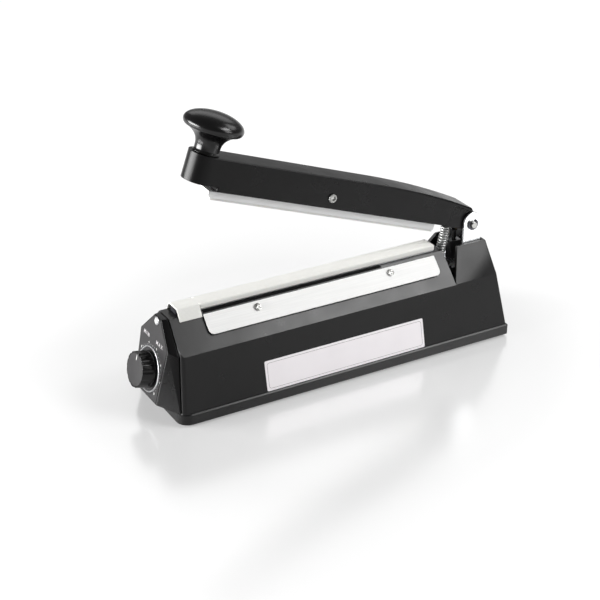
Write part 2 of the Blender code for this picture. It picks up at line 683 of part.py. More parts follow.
def make_underside():
    """Bottom plate, feet and the screws that hold them."""
    x0, x1, half = wall_at(LIP_HEIGHT)
    edge = WALL + CLEARANCE
    outline = rounded_rectangle(x0 + edge, x1 - edge, half - edge, WALL_CORNER - WALL / 2)
    plate = extruded("bottom_plate", outline, BOTTOM_RECESS, BOTTOM_TOP, "XY", DARK_STEEL)
    vent_x = HINGE_END - TRANSFORMER_FROM_HINGE_END
    for number in range(VENT_COUNT):
        x = vent_x + (number - (VENT_COUNT - 1) / 2) * VENT_PITCH
        cut(plate, box(f"vent_{number}", (x - VENT_WIDTH / 2, -VENT_LENGTH / 2, -OVERRUN),
                       (x + VENT_WIDTH / 2, VENT_LENGTH / 2, BOTTOM_TOP + OVERRUN)))
    foot_top = BOTTOM_RECESS - CLEARANCE
    web_low = foot_top - FOOT_WEB
    hole = BASE_SCREW_RADIUS + CLEARANCE
    recess = BASE_SCREW_HEAD + CLEARANCE
    foot = [(FOOT_RADIUS - FOOT_ROUND, foot_top), (FOOT_RADIUS, foot_top - FOOT_ROUND),
            (FOOT_RADIUS - FOOT_TAPER, -FOOT_PROUD), (recess, -FOOT_PROUD), (recess, web_low),
            (hole, web_low), (hole, foot_top)]
    head_high = web_low - CLEARANCE
    shank_high = BOTTOM_TOP + BASE_SCREW_LENGTH - CLEARANCE
    screw = [(0.0, shank_high), (BASE_SCREW_RADIUS, shank_high), (BASE_SCREW_RADIUS, head_high),
             (BASE_SCREW_HEAD, head_high), (BASE_SCREW_HEAD * 0.8, -FOOT_PROUD + CLEARANCE),
             (0.0, -FOOT_PROUD + CLEARANCE)]
    for corner, x, y in pillar_places():
        cut(plate, rod(f"plate_hole_{corner}", hole, -OVERRUN, BOTTOM_TOP + OVERRUN, location=(x, y, 0.0),
                       segments=16))
        turned(f"foot_{corner}", foot, RUBBER, (x, y, 0.0), steps=20, closed=True)
        turned(f"base_screw_{corner}", screw, STEEL, (x, y, 0.0), steps=12)


def panel_point(height, half, side):
    """A point on the dial panel's plane."""
    return PANEL_LOW_X + (height - PANEL_LOW_HEIGHT) * math.tan(LEAN_ANGLE), side * half, height


def cap_ring(points):
    """Six corners of the cap from (point maker, half width, height), low, middle and top."""
    low, mid, top = points
    return [low(-1), mid(-1), top(-1), top(1), mid(1), low(1)]


def wall_point(height, half, stand_off):
    """A maker of points just off the dial-end wall."""
    x0 = wall_at(height)[0]
    return lambda side: (x0 - stand_off, side * half, height)


def make_end_cap():
    """The faceted cap: a pyramid from the dial-end wall out to the dial panel."""
    low = LIP_HEIGHT + CLEARANCE
    high = DECK_HEIGHT - CLEARANCE
    low_half = wall_at(low)[2] - CAP_INSET
    mid_half = SHOULDER_HALF - CAP_INSET
    high_half = DECK_HALF - CAP_INSET
    wall_ring = [wall_point(low, low_half, CLEARANCE), wall_point(SHOULDER_HEIGHT, mid_half, CLEARANCE),
                 wall_point(high, high_half, CLEARANCE)]
    panel = [(PANEL_LOW_HEIGHT, PANEL_LOW_HALF), (PANEL_MID_HEIGHT, PANEL_MID_HALF),
             (PANEL_TOP_HEIGHT, PANEL_TOP_HALF)]
    panel_ring = [lambda side, z=z, half=half: panel_point(z, half, side) for z, half in panel]
    cap = loft("end_cap", [cap_ring(wall_ring), cap_ring(panel_ring)], BLACK_GLOSS)
    soften(cap, CAP_ROUND)
    back = 2 * CAP_WALL
    hollow_wall = [wall_point(low + CAP_WALL, low_half - CAP_WALL, -back),
                   wall_point(SHOULDER_HEIGHT - CAP_WALL / 2, mid_half - CAP_WALL, -back),
                   wall_point(high - CAP_WALL, high_half - CAP_WALL / 2, -back)]
    deep = CAP_WALL / math.cos(LEAN_ANGLE)
    hollow_panel = []
    for z, half in ((PANEL_LOW_HEIGHT + CAP_WALL, PANEL_LOW_HALF - CAP_WALL / 2),
                    (PANEL_MID_HEIGHT - CAP_WALL / 2, PANEL_MID_HALF - CAP_WALL),
                    (PANEL_TOP_HEIGHT - CAP_WALL, PANEL_TOP_HALF - CAP_WALL / 2)):
        hollow_panel.append(lambda side, z=z, half=half: (
            panel_point(z, half, side)[0] + deep, side * half, z))
    cut(cap, loft("cap_hollow", [cap_ring(hollow_wall), cap_ring(hollow_panel)]))
    cut(cap, rod("pot_hole", POT_BUSH_RADIUS + CLEARANCE, -HOLE_DEPTH, HOLE_DEPTH, parent=DIAL_AXIS))
    cut(cap, rod("lens_hole", LENS_RADIUS + CLEARANCE, -HOLE_DEPTH, HOLE_DEPTH,
                 location=(LENS_ABOVE_DIAL, 0.0, 0.0), segments=16, parent=DIAL_AXIS))


def make_dial():
    """Knob, scale ring, nut, timer potentiometer with its shaft, board and indicator lens."""
    inner = BEZEL_RADIUS - BEZEL_WIDTH
    top = CLEARANCE + BEZEL_HEIGHT
    turned("dial_bezel", [(inner + BEZEL_WIDTH * 0.3, top), (BEZEL_RADIUS - BEZEL_WIDTH * 0.3, top),
                          (BEZEL_RADIUS, CLEARANCE), (inner, CLEARANCE)],
           ALUMINIUM, steps=48, closed=True, parent=DIAL_AXIS)
    knob_low = CLEARANCE + POT_NUT_HEIGHT / 2
    nut_room = CLEARANCE + POT_NUT_HEIGHT + CLEARANCE
    bore = POT_SHAFT_RADIUS + CLEARANCE
    shaft_top = KNOB_DEPTH * 0.72
    knob = turned("dial_knob", [(0.0, KNOB_DEPTH), (KNOB_FRONT_RADIUS - KNOB_EDGE, KNOB_DEPTH),
                                (KNOB_FRONT_RADIUS - KNOB_EDGE * 0.3, KNOB_DEPTH - KNOB_EDGE * 0.3),
                                (KNOB_FRONT_RADIUS, KNOB_DEPTH - KNOB_EDGE),
                                (KNOB_RADIUS, knob_low), (POT_NUT_RADIUS + CLEARANCE, knob_low),
                                (POT_NUT_RADIUS + CLEARANCE, nut_room), (bore, nut_room),
                                (bore, shaft_top + CLEARANCE), (0.0, shaft_top + CLEARANCE)],
                  BLACK_GLOSS, steps=48, parent=DIAL_AXIS)
    for number in range(KNOB_FLUTES):
        angle = 2 * math.pi * (number + 0.5) / KNOB_FLUTES
        cut(knob, rod(f"flute_{number}", KNOB_FLUTE_RADIUS, knob_low + KNOB_SKIRT, KNOB_DEPTH + OVERRUN,
                      location=(KNOB_RADIUS * math.cos(angle), KNOB_RADIUS * math.sin(angle), 0.0),
                      segments=10, parent=DIAL_AXIS))
    cut(knob, box("pointer_groove", (KNOB_RADIUS / 4, -POINTER_WIDTH / 2, KNOB_DEPTH - POINTER_DEPTH),
                  (KNOB_RADIUS + OVERRUN, POINTER_WIDTH / 2, KNOB_DEPTH + OVERRUN), parent=DIAL_AXIS))
    back = -CAP_WALL - CLEARANCE
    rod("pot_shaft", POT_SHAFT_RADIUS, back - POT_DEPTH / 2, shaft_top, STEEL, segments=20, parent=DIAL_AXIS)
    half = POT_SIZE / 2
    pot = box("potentiometer", (-half, -half, back - POT_DEPTH), (half, half, back), ALUMINIUM, DIAL_AXIS)
    join(pot, rod("pot_bush", POT_BUSH_RADIUS, back - POT_DEPTH / 2, nut_room, segments=20, parent=DIAL_AXIS))
    cut(pot, rod("pot_bore", bore, back - POT_DEPTH / 2 - CLEARANCE, nut_room + OVERRUN, segments=20,
                 parent=DIAL_AXIS))
    nut = rod("pot_nut", POT_NUT_RADIUS, CLEARANCE, CLEARANCE + POT_NUT_HEIGHT, STEEL, segments=6,
              parent=DIAL_AXIS)
    cut(nut, rod("nut_bore", POT_BUSH_RADIUS + CLEARANCE, -OVERRUN, nut_room + OVERRUN, segments=20,
                 parent=DIAL_AXIS))
    board_top = back - POT_DEPTH - CLEARANCE
    board = box("timer_board", (-BOARD_HEIGHT / 2, -BOARD_WIDTH / 2, board_top - BOARD_THICKNESS),
                (BOARD_HEIGHT / 2, BOARD_WIDTH / 2, board_top), BOARD_GREEN, DIAL_AXIS)
    board_low = board_top - BOARD_THICKNESS
    board_middle = board_top - BOARD_THICKNESS / 2
    join(board, box("relay", (-BOARD_HEIGHT * 0.35, -BOARD_WIDTH * 0.40, board_low - RELAY_HEIGHT),
                    (BOARD_HEIGHT * 0.15, BOARD_WIDTH * 0.02, board_middle), parent=DIAL_AXIS))
    join(board, rod("capacitor", CAPACITOR_RADIUS, board_low - CAPACITOR_HEIGHT, board_middle,
                    location=(BOARD_HEIGHT * 0.05, BOARD_WIDTH * 0.28, 0.0), segments=16, parent=DIAL_AXIS))
    turned("indicator_lens", [(0.0, CLEARANCE + LENS_DOME), (LENS_RADIUS * 0.6, CLEARANCE + LENS_DOME * 0.8),
                              (LENS_RADIUS, CLEARANCE), (LENS_RADIUS, -CAP_WALL - LENS_TAIL),
                              (0.0, -CAP_WALL - LENS_TAIL)],
           LENS_PALE, (LENS_ABOVE_DIAL, 0.0, 0.0), steps=20, parent=DIAL_AXIS)


def ribbon(path, thickness):
    """The closed outline of a thin strip whose middle follows a path."""
    left, right = [], []
    for i, (u, v) in enumerate(path):
        before = Vector(path[max(i - 1, 0)])
        after = Vector(path[min(i + 1, len(path) - 1)])
        here = Vector((u, v))
        sides = []
        for tangent in (here - before, after - here):
            if tangent.length > 0:
                sides.append(Vector((-tangent.y, tangent.x)).normalized())
        normal = sum(sides, Vector((0.0, 0.0))).normalized()
        reach = thickness / 2 / max(normal.dot(sides[0]), 0.4)
        left.append(tuple(here + normal * reach))
        right.append(tuple(here - normal * reach))
    return left + right[::-1]


def cloth_path():
    """Half of the release cloth's section, from the middle of the bed down to its hem on the slope."""
    middle = CLOTH_LOW + CLOTH_THICKNESS / 2
    lift = CLEARANCE + CLOTH_THICKNESS / 2
    side = BED_HALF + lift
    return [(0.0, middle), (side - BED_CORNER, middle), (side, middle - BED_CORNER),
            (side, DECK_HEIGHT + 2.5 * lift), (side + lift, DECK_HEIGHT + lift),
            (DECK_HALF, DECK_HEIGHT + lift),
            slope_point(SLOPE_LENGTH, lift), slope_point(CLOTH_HEM, lift)]


def make_heater():
    """Bed, tape, element and its terminals, and the cloth over them."""
    low = DECK_HEIGHT + CLEARANCE
    corner = BED_TOP_HEIGHT - BED_CORNER
    section = [(-BED_HALF, low), (BED_HALF, low), (BED_HALF, corner), (BED_HALF - BED_CORNER, BED_TOP_HEIGHT),
               (BED_CORNER - BED_HALF, BED_TOP_HEIGHT), (-BED_HALF, corner)]
    extruded("heater_bed", section, BED_START, BED_END, "YZ", ALUMINIUM)
    tape_low = BED_TOP_HEIGHT + CLEARANCE
    box("bed_tape", (BED_START, -TAPE_HALF, tape_low), (BED_END, TAPE_HALF, tape_low + TAPE_THICKNESS), TAPE)
    fold = CLEARANCE + ELEMENT_THICKNESS / 2
    middle = ELEMENT_LOW + ELEMENT_THICKNESS / 2
    foot = BED_TOP_HEIGHT - ELEMENT_FOLD
    strip = ribbon([(BED_START - fold, foot), (BED_START - fold, middle), (BED_END + fold, middle),
                    (BED_END + fold, foot)], ELEMENT_THICKNESS)
    extruded("heating_element", strip, -ELEMENT_HALF, ELEMENT_HALF, "XZ", NICHROME)
    reach = 2 * fold + CLEARANCE
    for name, x0, x1 in (("terminal_dial", BED_START - reach - TERMINAL_THICKNESS, BED_START - reach),
                         ("terminal_hinge", BED_END + reach, BED_END + reach + TERMINAL_THICKNESS)):
        box(name, (x0, -TERMINAL_HALF, low), (x1, TERMINAL_HALF, BED_TOP_HEIGHT), DARK_STEEL)
    half_path = cloth_path()
    path = [(-u, v) for u, v in reversed(half_path[1:])] + half_path
    start = BED_START - CLOTH_OVERHANG
    cloth = extruded("release_cloth", ribbon(path, CLOTH_THICKNESS), start, BED_END, "YZ", CLOTH)
    hem = CLOTH_LOW + CLOTH_THICKNESS - CLOTH_SIDE
    for side, sign in (("front", -1), ("rear", 1)):
        ends = sorted((sign * BED_HALF, sign * BASE_WIDTH))
        cut(cloth, box(f"tab_trim_{side}", (start + CLOTH_TAB, ends[0], SHOULDER_HEIGHT),
                       (NOTCH_X, ends[1], hem)))


def make_clamps():
    """The two plates that hold the cloth on the slopes, and their screws."""
    low = 2 * CLEARANCE + CLOTH_THICKNESS
    half = CLAMP_LENGTH / 2
    corner = CLAMP_CORNER
    outline = ([(half, CLAMP_HIGH), (-half, CLAMP_HIGH)]
               + arc((-half + corner, CLAMP_LOW + corner), corner, 180, 270, 4)
               + arc((half - corner, CLAMP_LOW + corner), corner, 270, 360, 4))
    hole = CLAMP_SCREW_RADIUS + CLEARANCE
    under_head = low + CLAMP_THICKNESS + CLEARANCE
    top = under_head + CLAMP_SCREW_HEAD_HEIGHT
    tip = -CLAMP_SCREW_LENGTH + CLEARANCE
    profile = [(0.0, top), (CLAMP_SCREW_HEAD * 0.55, top - CLAMP_SCREW_HEAD_HEIGHT * 0.2),
               (CLAMP_SCREW_HEAD, under_head + CLAMP_SCREW_HEAD_HEIGHT * 0.2), (CLAMP_SCREW_HEAD, under_head),
               (CLAMP_SCREW_RADIUS, under_head), (CLAMP_SCREW_RADIUS, tip), (0.0, tip)]
    for side, frame in SLOPES.items():
        plate = extruded(f"clamp_plate_{side}", outline, low, low + CLAMP_THICKNESS, "XY", WHITE_PLATE, frame)
        for end, label in ((-1, "a"), (1, "b")):
            place_on = (end * CLAMP_SCREW_SPACING / 2, CLAMP_SCREW_UP, 0.0)
            cut(plate, rod(f"plate_hole_{side}_{label}", hole, low - OVERRUN, top, location=place_on,
                           segments=12, parent=frame))
            screw = turned(f"clamp_screw_{side}_{label}", profile, STEEL, place_on, steps=16, parent=frame)
            corner_a = Vector((-CLAMP_SCREW_HEAD, -SCREW_SLOT_WIDTH / 2, top - SCREW_SLOT_DEPTH))
            corner_b = Vector((CLAMP_SCREW_HEAD, SCREW_SLOT_WIDTH / 2, top + OVERRUN))
            cut(screw, box(f"screw_slot_{side}_{label}", Vector(place_on) + corner_a,
                           Vector(place_on) + corner_b, parent=frame))


def ear_outline():
    """An ear of the hinge bracket, from its foot up round the pin."""
    centre = (HINGE_X, HINGE_HEIGHT + EAR_RISE)
    rear = HINGE_X + EAR_RADIUS
    return [(HINGE_X - BRACKET_FRONT * 0.6, BRACKET_HEIGHT), (rear, BRACKET_HEIGHT),
            *arc(centre, EAR_RADIUS, 0, 180, 14), (HINGE_X - EAR_RADIUS, BRACKET_HEIGHT + EAR_RADIUS)]


def make_hinge():
    """Bracket with two ears, its screws, the pin, its clips and the bush that the arm turns on."""
    inner = EAR_OUTER - EAR_THICKNESS
    top = BRACKET_HEIGHT + BRACKET_THICKNESS
    bracket = box("hinge_bracket", (HINGE_X - BRACKET_FRONT, -inner - EAR_THICKNESS / 2, BRACKET_HEIGHT),
                  (HINGE_X + EAR_RADIUS, inner + EAR_THICKNESS / 2, top), STEEL)
    for name, low, high in (("ear_front", -EAR_OUTER, -inner), ("ear_rear", inner, EAR_OUTER)):
        join(bracket, extruded(name, ear_outline(), low, high, "XZ"))
    cut(bracket, rod("ear_hole", PIN_RADIUS + CLEARANCE, -2 * EAR_OUTER, 2 * EAR_OUTER,
                     location=(HINGE_X, 0.0, HINGE_HEIGHT), along="Y"))
    head_low = top + CLEARANCE
    head_top = head_low + BRACKET_SCREW_HEIGHT
    tip = BRACKET_HEIGHT - RIB_DEPTH / 2 + CLEARANCE
    profile = [(0.0, head_top), (BASE_SCREW_HEAD * 0.7, head_top - BRACKET_SCREW_HEIGHT / 8),
               (BASE_SCREW_HEAD, head_low), (BASE_SCREW_RADIUS, head_low), (BASE_SCREW_RADIUS, tip),
               (0.0, tip)]
    for number, x in enumerate(rib_places()):
        y = bracket_screw_side(number)
        cut(bracket, rod(f"bracket_hole_{number}", BASE_SCREW_RADIUS + CLEARANCE, BRACKET_HEIGHT - OVERRUN,
                         top + OVERRUN, location=(x, y, 0.0), segments=12))
        turned(f"bracket_screw_{number}", profile, STEEL, (x, y, 0.0), steps=14)
    clip_low = EAR_OUTER + CLEARANCE
    pin_half = clip_low + CLIP_THICKNESS + PIN_END
    rod("hinge_pin", PIN_RADIUS, -pin_half, pin_half, STEEL, (HINGE_X, 0.0, HINGE_HEIGHT), "Y")
    start = 90 + CLIP_GAP / 2
    outline = (arc((HINGE_X, HINGE_HEIGHT), CLIP_OUTER, start, start + 360 - CLIP_GAP, 20)
               + arc((HINGE_X, HINGE_HEIGHT), PIN_RADIUS + CLEARANCE, start + 360 - CLIP_GAP, start, 20))
    extruded("retaining_clip_front", outline, clip_low, clip_low + CLIP_THICKNESS, "XZ", DARK_STEEL)
    extruded("retaining_clip_rear", outline, -clip_low - CLIP_THICKNESS, -clip_low, "XZ", DARK_STEEL)
    bush = rod("pivot_bush", PIN_RADIUS + CLEARANCE + BUSH_WALL, -TAIL_HALF, TAIL_HALF, BRASS, along="Y",
               parent=ARM_AXIS)
    cut(bush, rod("bush_bore", PIN_RADIUS + CLEARANCE, -EAR_OUTER, EAR_OUTER, along="Y", parent=ARM_AXIS))


def arm_top(out):
    """Height of the arm's top skin at a distance from the hinge: level, then falling to the tail."""
    past = max(0.0, ARM_CROWN_START - out)
    run = ARM_CROWN_START - ARM_SHOULDER
    return ARM_TOP - ARM_CROWN_DROP * (past / run) ** ARM_CROWN_POWER


def crown(start, end, drop=0.0, steps=12):
    """Points of the arm's outline along its curved top, from start out to end."""
    points = []
    for i in range(steps + 1):
        out = start + (end - start) * i / steps
        points.append((-out, arm_top(out) - drop))
    return points


def make_arm():
    """The channel-section arm with its handle boss, narrow tail and spring seat."""
    step_out = ARM_REACH - BOSS_STEP
    skin = 1.6 * ARM_WALL
    body = ([(-step_out, ARM_BOTTOM)]
            + arc((-ARM_SHOULDER - ARM_HEEL, ARM_BOTTOM + ARM_HEEL), ARM_HEEL, 270, 360, 3)
            + [(-ARM_SHOULDER, arm_top(ARM_SHOULDER) - skin), (-ARM_SKIN_END, arm_top(ARM_SKIN_END) - skin)]
            + crown(ARM_SKIN_END, ARM_CROWN_START)
            + [(-ARM_REACH, ARM_TOP), (-ARM_REACH, BOSS_BOTTOM), (-step_out, BOSS_BOTTOM)])
    arm = extruded("arm", body, -ARM_HALF, ARM_HALF, "XZ", BLACK_ARM, ARM_AXIS)
    soften(arm, ARM_ROUND)
    overlap = ARM_SHOULDER + ARM_JOIN
    tail = ([(-overlap, ARM_BOTTOM + TAIL_STEP / 2)] + arc((0.0, 0.0), ARM_TAIL_RADIUS, -125, 70, 14)
            + crown(ARM_SKIN_END - TAIL_STEP, overlap, TAIL_STEP))
    join(arm, extruded("arm_tail", tail, -TAIL_HALF, TAIL_HALF, "XZ", parent=ARM_AXIS))
    join(arm, rod("arm_boss", ARM_HALF - ARM_EASE, BOSS_BOTTOM + ARM_EASE, ARM_TOP - ARM_EASE,
                  location=(-ARM_REACH, 0.0, 0.0), segments=40, parent=ARM_AXIS))
    cut(arm, rod("handle_bolt_hole", HANDLE_BOLT_RADIUS + CLEARANCE, -HOLE_DEPTH, ARM_TOP + HOLE_DEPTH,
                 location=(-ARM_REACH, 0.0, 0.0), segments=20, parent=ARM_AXIS))
    cut(arm, rod("handle_bolt_recess", HANDLE_BOLT_HEAD + CLEARANCE, BOSS_BOTTOM - OVERRUN,
                 BOSS_BOTTOM + HANDLE_BOLT_RECESS, location=(-ARM_REACH, 0.0, 0.0), segments=20,
                 parent=ARM_AXIS))
    under = ARM_BOTTOM - 2 * ARM_WALL
    hollow = ([(-ARM_REACH + ARM_HALF + ARM_WALL, under), (-ARM_SHOULDER - ARM_WALL, under)]
              + crown(ARM_SHOULDER + ARM_WALL, ARM_CROWN_START, ARM_WALL)
              + [(-ARM_REACH + ARM_HALF + ARM_WALL, ARM_TOP - ARM_WALL)])
    inner = ARM_HALF - ARM_WALL
    cut(arm, extruded("arm_hollow", hollow, -inner, inner, "XZ", parent=ARM_AXIS))
    rear = ARM_TAIL_RADIUS - ARM_WALL
    tail_hollow = ([(-overlap - OVERRUN, 2 * under), (rear, 2 * under), (rear, 0.0)]
                   + crown(ARM_WALL, overlap + OVERRUN, TAIL_STEP + 1.2 * ARM_WALL))
    inner = TAIL_HALF - ARM_WALL
    cut(arm, extruded("tail_hollow", tail_hollow, -inner, inner, "XZ", parent=ARM_AXIS))
    join(arm, box("spring_seat", (-SEAT_FAR, -TAIL_HALF + CLEARANCE, SEAT_BOTTOM),
                  (-SEAT_NEAR, TAIL_HALF - CLEARANCE, SEAT_BOTTOM + SEAT_THICKNESS), parent=ARM_AXIS))
    cut(arm, rod("bar_bolt_hole", BAR_BOLT_RADIUS + CLEARANCE, -2 * ARM_HALF, 2 * ARM_HALF,
                 location=(-BAR_BOLT_OUT, 0.0, BAR_BOLT_UP), along="Y", segments=16, parent=ARM_AXIS))
    cut(arm, rod("bush_seat", PIN_RADIUS + 2 * CLEARANCE + BUSH_WALL, -EAR_OUTER, EAR_OUTER, along="Y",
                 parent=ARM_AXIS))


def make_handle():
    """The mushroom handle and the bolt that holds it to the arm's boss."""
    low = ARM_TOP + CLEARANCE
    cap_low = low + KNOB_CAP_LOW
    rim_high = cap_low + KNOB_CAP_RIM
    top = low + KNOB_RISE
    bore = HANDLE_BOLT_RADIUS + CLEARANCE
    bolt_top = low + HANDLE_BOLT_REACH
    dome = []
    for i in range(9):
        angle = math.radians(90 - 90 * i / 8)
        dome.append((KNOB_CAP_RADIUS * math.cos(angle), rim_high + (top - rim_high) * math.sin(angle)))
    rim = [(KNOB_CAP_RADIUS - KNOB_LIP, rim_high - KNOB_CAP_RIM * 0.55),
           (KNOB_CAP_RADIUS - KNOB_UNDER * 0.45, cap_low + KNOB_LIP), (KNOB_CAP_RADIUS - KNOB_UNDER, cap_low)]
    neck = []
    for i in range(6):
        share = i / 5
        flare = (1 - share) ** 3
        neck.append((KNOB_STEM_RADIUS + KNOB_NECK_FLARE * flare,
                     cap_low - KNOB_LIP / 2 - share * (cap_low - low) * 0.85))
    foot = [(KNOB_STEM_RADIUS + KNOB_FOOT, low), (bore, low), (bore, bolt_top + CLEARANCE),
            (0.0, bolt_top + CLEARANCE)]
    turned("handle_knob", dome + rim + neck + foot, BLACK_GLOSS, (-ARM_REACH, 0.0, 0.0), steps=40,
           parent=ARM_AXIS)
    head_high = BOSS_BOTTOM + HANDLE_BOLT_RECESS - CLEARANCE
    head_low = head_high - HANDLE_BOLT_HEAD_HEIGHT
    bolt = rod("handle_bolt", HANDLE_BOLT_HEAD, head_low, head_high, STEEL, (-ARM_REACH, 0.0, 0.0),
               segments=6, parent=ARM_AXIS)
    join(bolt, rod("handle_bolt_shank", HANDLE_BOLT_RADIUS, head_high - OVERRUN, bolt_top,
                   location=(-ARM_REACH, 0.0, 0.0), segments=20, parent=ARM_AXIS))


def make_seal_bar():
    """The pressing bar in the arm's channel, its silicone strip and its cross bolt."""
    low = SEAL_BOTTOM
    nose = arc((-SEAL_FAR + SEAL_NOSE_ROUND, low + SEAL_NOSE_ROUND), SEAL_NOSE_ROUND, 180, 270, 4)
    outline = ([(-SEAL_NOSE_START, SEAL_TOP), (-SEAL_NOSE_START, SEAL_NOSE_TOP), (-SEAL_FAR, SEAL_NOSE_TOP)]
               + nose + [(-SEAL_NEAR, low), (-SEAL_NEAR, SEAL_TOP)])
    bar = extruded("seal_bar", outline, -SEAL_HALF, SEAL_HALF, "XZ", WHITE_PLATE, ARM_AXIS)
    cut(bar, rod("seal_bolt_hole", BAR_BOLT_RADIUS + CLEARANCE, -ARM_HALF, ARM_HALF,
                 location=(-BAR_BOLT_OUT, 0.0, BAR_BOLT_UP), along="Y", segments=16, parent=ARM_AXIS))
    strip_high = low - CLEARANCE
    strip = box("silicone_strip", (-SEAL_FAR + SEAL_NOSE_ROUND, -STRIP_HALF, strip_high - STRIP_THICKNESS),
                (-SEAL_NEAR, STRIP_HALF, strip_high), SILICONE, ARM_AXIS)
    soften(strip, STRIP_ROUND)
    place_on = (-BAR_BOLT_OUT, 0.0, BAR_BOLT_UP)
    head_near = ARM_HALF + CLEARANCE
    bolt = rod("bar_bolt", BAR_BOLT_HEAD, -head_near - BAR_BOLT_HEAD_HEIGHT, -head_near, STEEL, place_on, "Y",
               parent=ARM_AXIS)
    soften(bolt, STRIP_ROUND)
    bolt_end = head_near + BAR_NUT_HEIGHT + CLEARANCE
    shank_low = -head_near - BAR_BOLT_HEAD_HEIGHT / 2
    join(bolt, rod("bar_bolt_shank", BAR_BOLT_RADIUS, shank_low, bolt_end, None, place_on, "Y", 16, ARM_AXIS))
    bore = BAR_BOLT_RADIUS + CLEARANCE
    nut = rod("bar_nut", BAR_BOLT_HEAD, head_near, head_near + BAR_NUT_HEIGHT, STEEL, place_on, "Y", 6,
              ARM_AXIS)
    cut(nut, rod("bar_nut_bore", bore, 0.0, 2 * ARM_HALF, None, place_on, "Y", 16, ARM_AXIS))
    near = SEAL_HALF + CLEARANCE
    far = ARM_HALF - ARM_WALL - CLEARANCE
    for name, low_y, high_y in (("bar_spacer_front", -far, -near), ("bar_spacer_rear", near, far)):
        spacer = rod(name, SPACER_RADIUS, low_y, high_y, ALUMINIUM, place_on, "Y", parent=ARM_AXIS)
        cut(spacer, rod(f"{name}_bore", bore, -ARM_HALF, ARM_HALF, None, place_on, "Y", 16, ARM_AXIS))


def arm_point(out, up):
    """A point of the open arm in the base's frame."""
    x = HINGE_X - out * math.cos(OPEN_ANGLE) + up * math.sin(OPEN_ANGLE)
    return Vector((x, 0.0, HINGE_HEIGHT + out * math.sin(OPEN_ANGLE) + up * math.cos(OPEN_ANGLE)))


def spring_points():
    """The return spring's helix, leaning from the bracket up to the arm's seat and square to both."""
    ease = CLEARANCE + SPRING_WIRE
    seat = arm_point(SPRING_SEAT, SEAT_BOTTOM)
    seat_normal = Vector((math.sin(OPEN_ANGLE), 0.0, math.cos(OPEN_ANGLE)))
    head = seat - seat_normal * ease
    foot = Vector((seat.x - SPRING_LEAN, 0.0, BRACKET_HEIGHT + BRACKET_THICKNESS + ease))
    points = []
    count = SPRING_TURNS * SPRING_POINTS
    for i in range(count + 1):
        share = i / count
        along = min(max((share * SPRING_TURNS - SPRING_FLAT) / (SPRING_TURNS - 2 * SPRING_FLAT), 0.0), 1.0)
        bend = along * along * (3 - 2 * along)
        middle = Vector((foot.x + (head.x - foot.x) * bend, 0.0, foot.z + (head.z - foot.z) * along))
        tilt = OPEN_ANGLE * bend
        angle = 2 * math.pi * share * SPRING_TURNS
        across = Vector((math.cos(tilt), 0.0, -math.sin(tilt))) * math.cos(angle)
        points.append(middle + (across + Vector((0.0, 1.0, 0.0)) * math.sin(angle)) * SPRING_RADIUS)
    return points


def make_spring():
    """The coil that lifts the arm, one unbroken wire."""
    points = spring_points()
    curve = bpy.data.curves.new("return_spring", "CURVE")
    curve.dimensions = "3D"
    curve.bevel_depth = SPRING_WIRE
    curve.bevel_resolution = 1
    curve.use_fill_caps = True
    spline = curve.splines.new("POLY")
    spline.points.add(len(points) - 1)
    for point, place_at in zip(spline.points, points):
        point.co = (*place_at, 1.0)
    curve.materials.append(SPRING_STEEL)
    spring = bpy.data.objects.new("return_spring", curve)
    spring.parent = BASE
    PARTS.objects.link(spring)
    least = min((a - b).length for i, a in enumerate(points) for b in points[i + SPRING_POINTS // 2 + 1:])
    print(f"return_spring: least gap between turns {1000 * (least - 2 * SPRING_WIRE):.2f} mm")


def make_switch():
    """The switch on the bracket and its sprung plunger under the arm's seat."""
    x = HINGE_X - SWITCH_FORWARD
    low = BRACKET_HEIGHT + BRACKET_THICKNESS + CLEARANCE
    high = low + SWITCH_HEIGHT
    switch = box("micro_switch", (x - SWITCH_LENGTH / 2, -SWITCH_HALF, low),
                 (x + SWITCH_LENGTH / 2, SWITCH_HALF, high), BLACK_SHELL)
    soften(switch, CLEARANCE, 1)
    sunk = 2 * PLUNGER_TRAVEL
    cut(switch, rod("plunger_bore", PLUNGER_RADIUS + CLEARANCE, high - sunk - PLUNGER_TRAVEL, high + OVERRUN,
                    location=(x, 0.0, 0.0), segments=16))
    tip = HINGE_HEIGHT + SEAT_BOTTOM - CLEARANCE - ARM_EASE
    cap_low = tip - PLUNGER_CAP_HEIGHT
    stem_low = high - sunk + CLEARANCE
    turned("switch_plunger", [(0.0, tip), (PLUNGER_CAP * 0.7, tip - PLUNGER_CAP_HEIGHT / 7),
                              (PLUNGER_CAP, tip - PLUNGER_CAP_HEIGHT / 2), (PLUNGER_CAP, cap_low),
                              (PLUNGER_RADIUS, cap_low), (PLUNGER_RADIUS, stem_low), (0.0, stem_low)],
           BLACK_GLOSS, (x, 0.0, 0.0), steps=16)


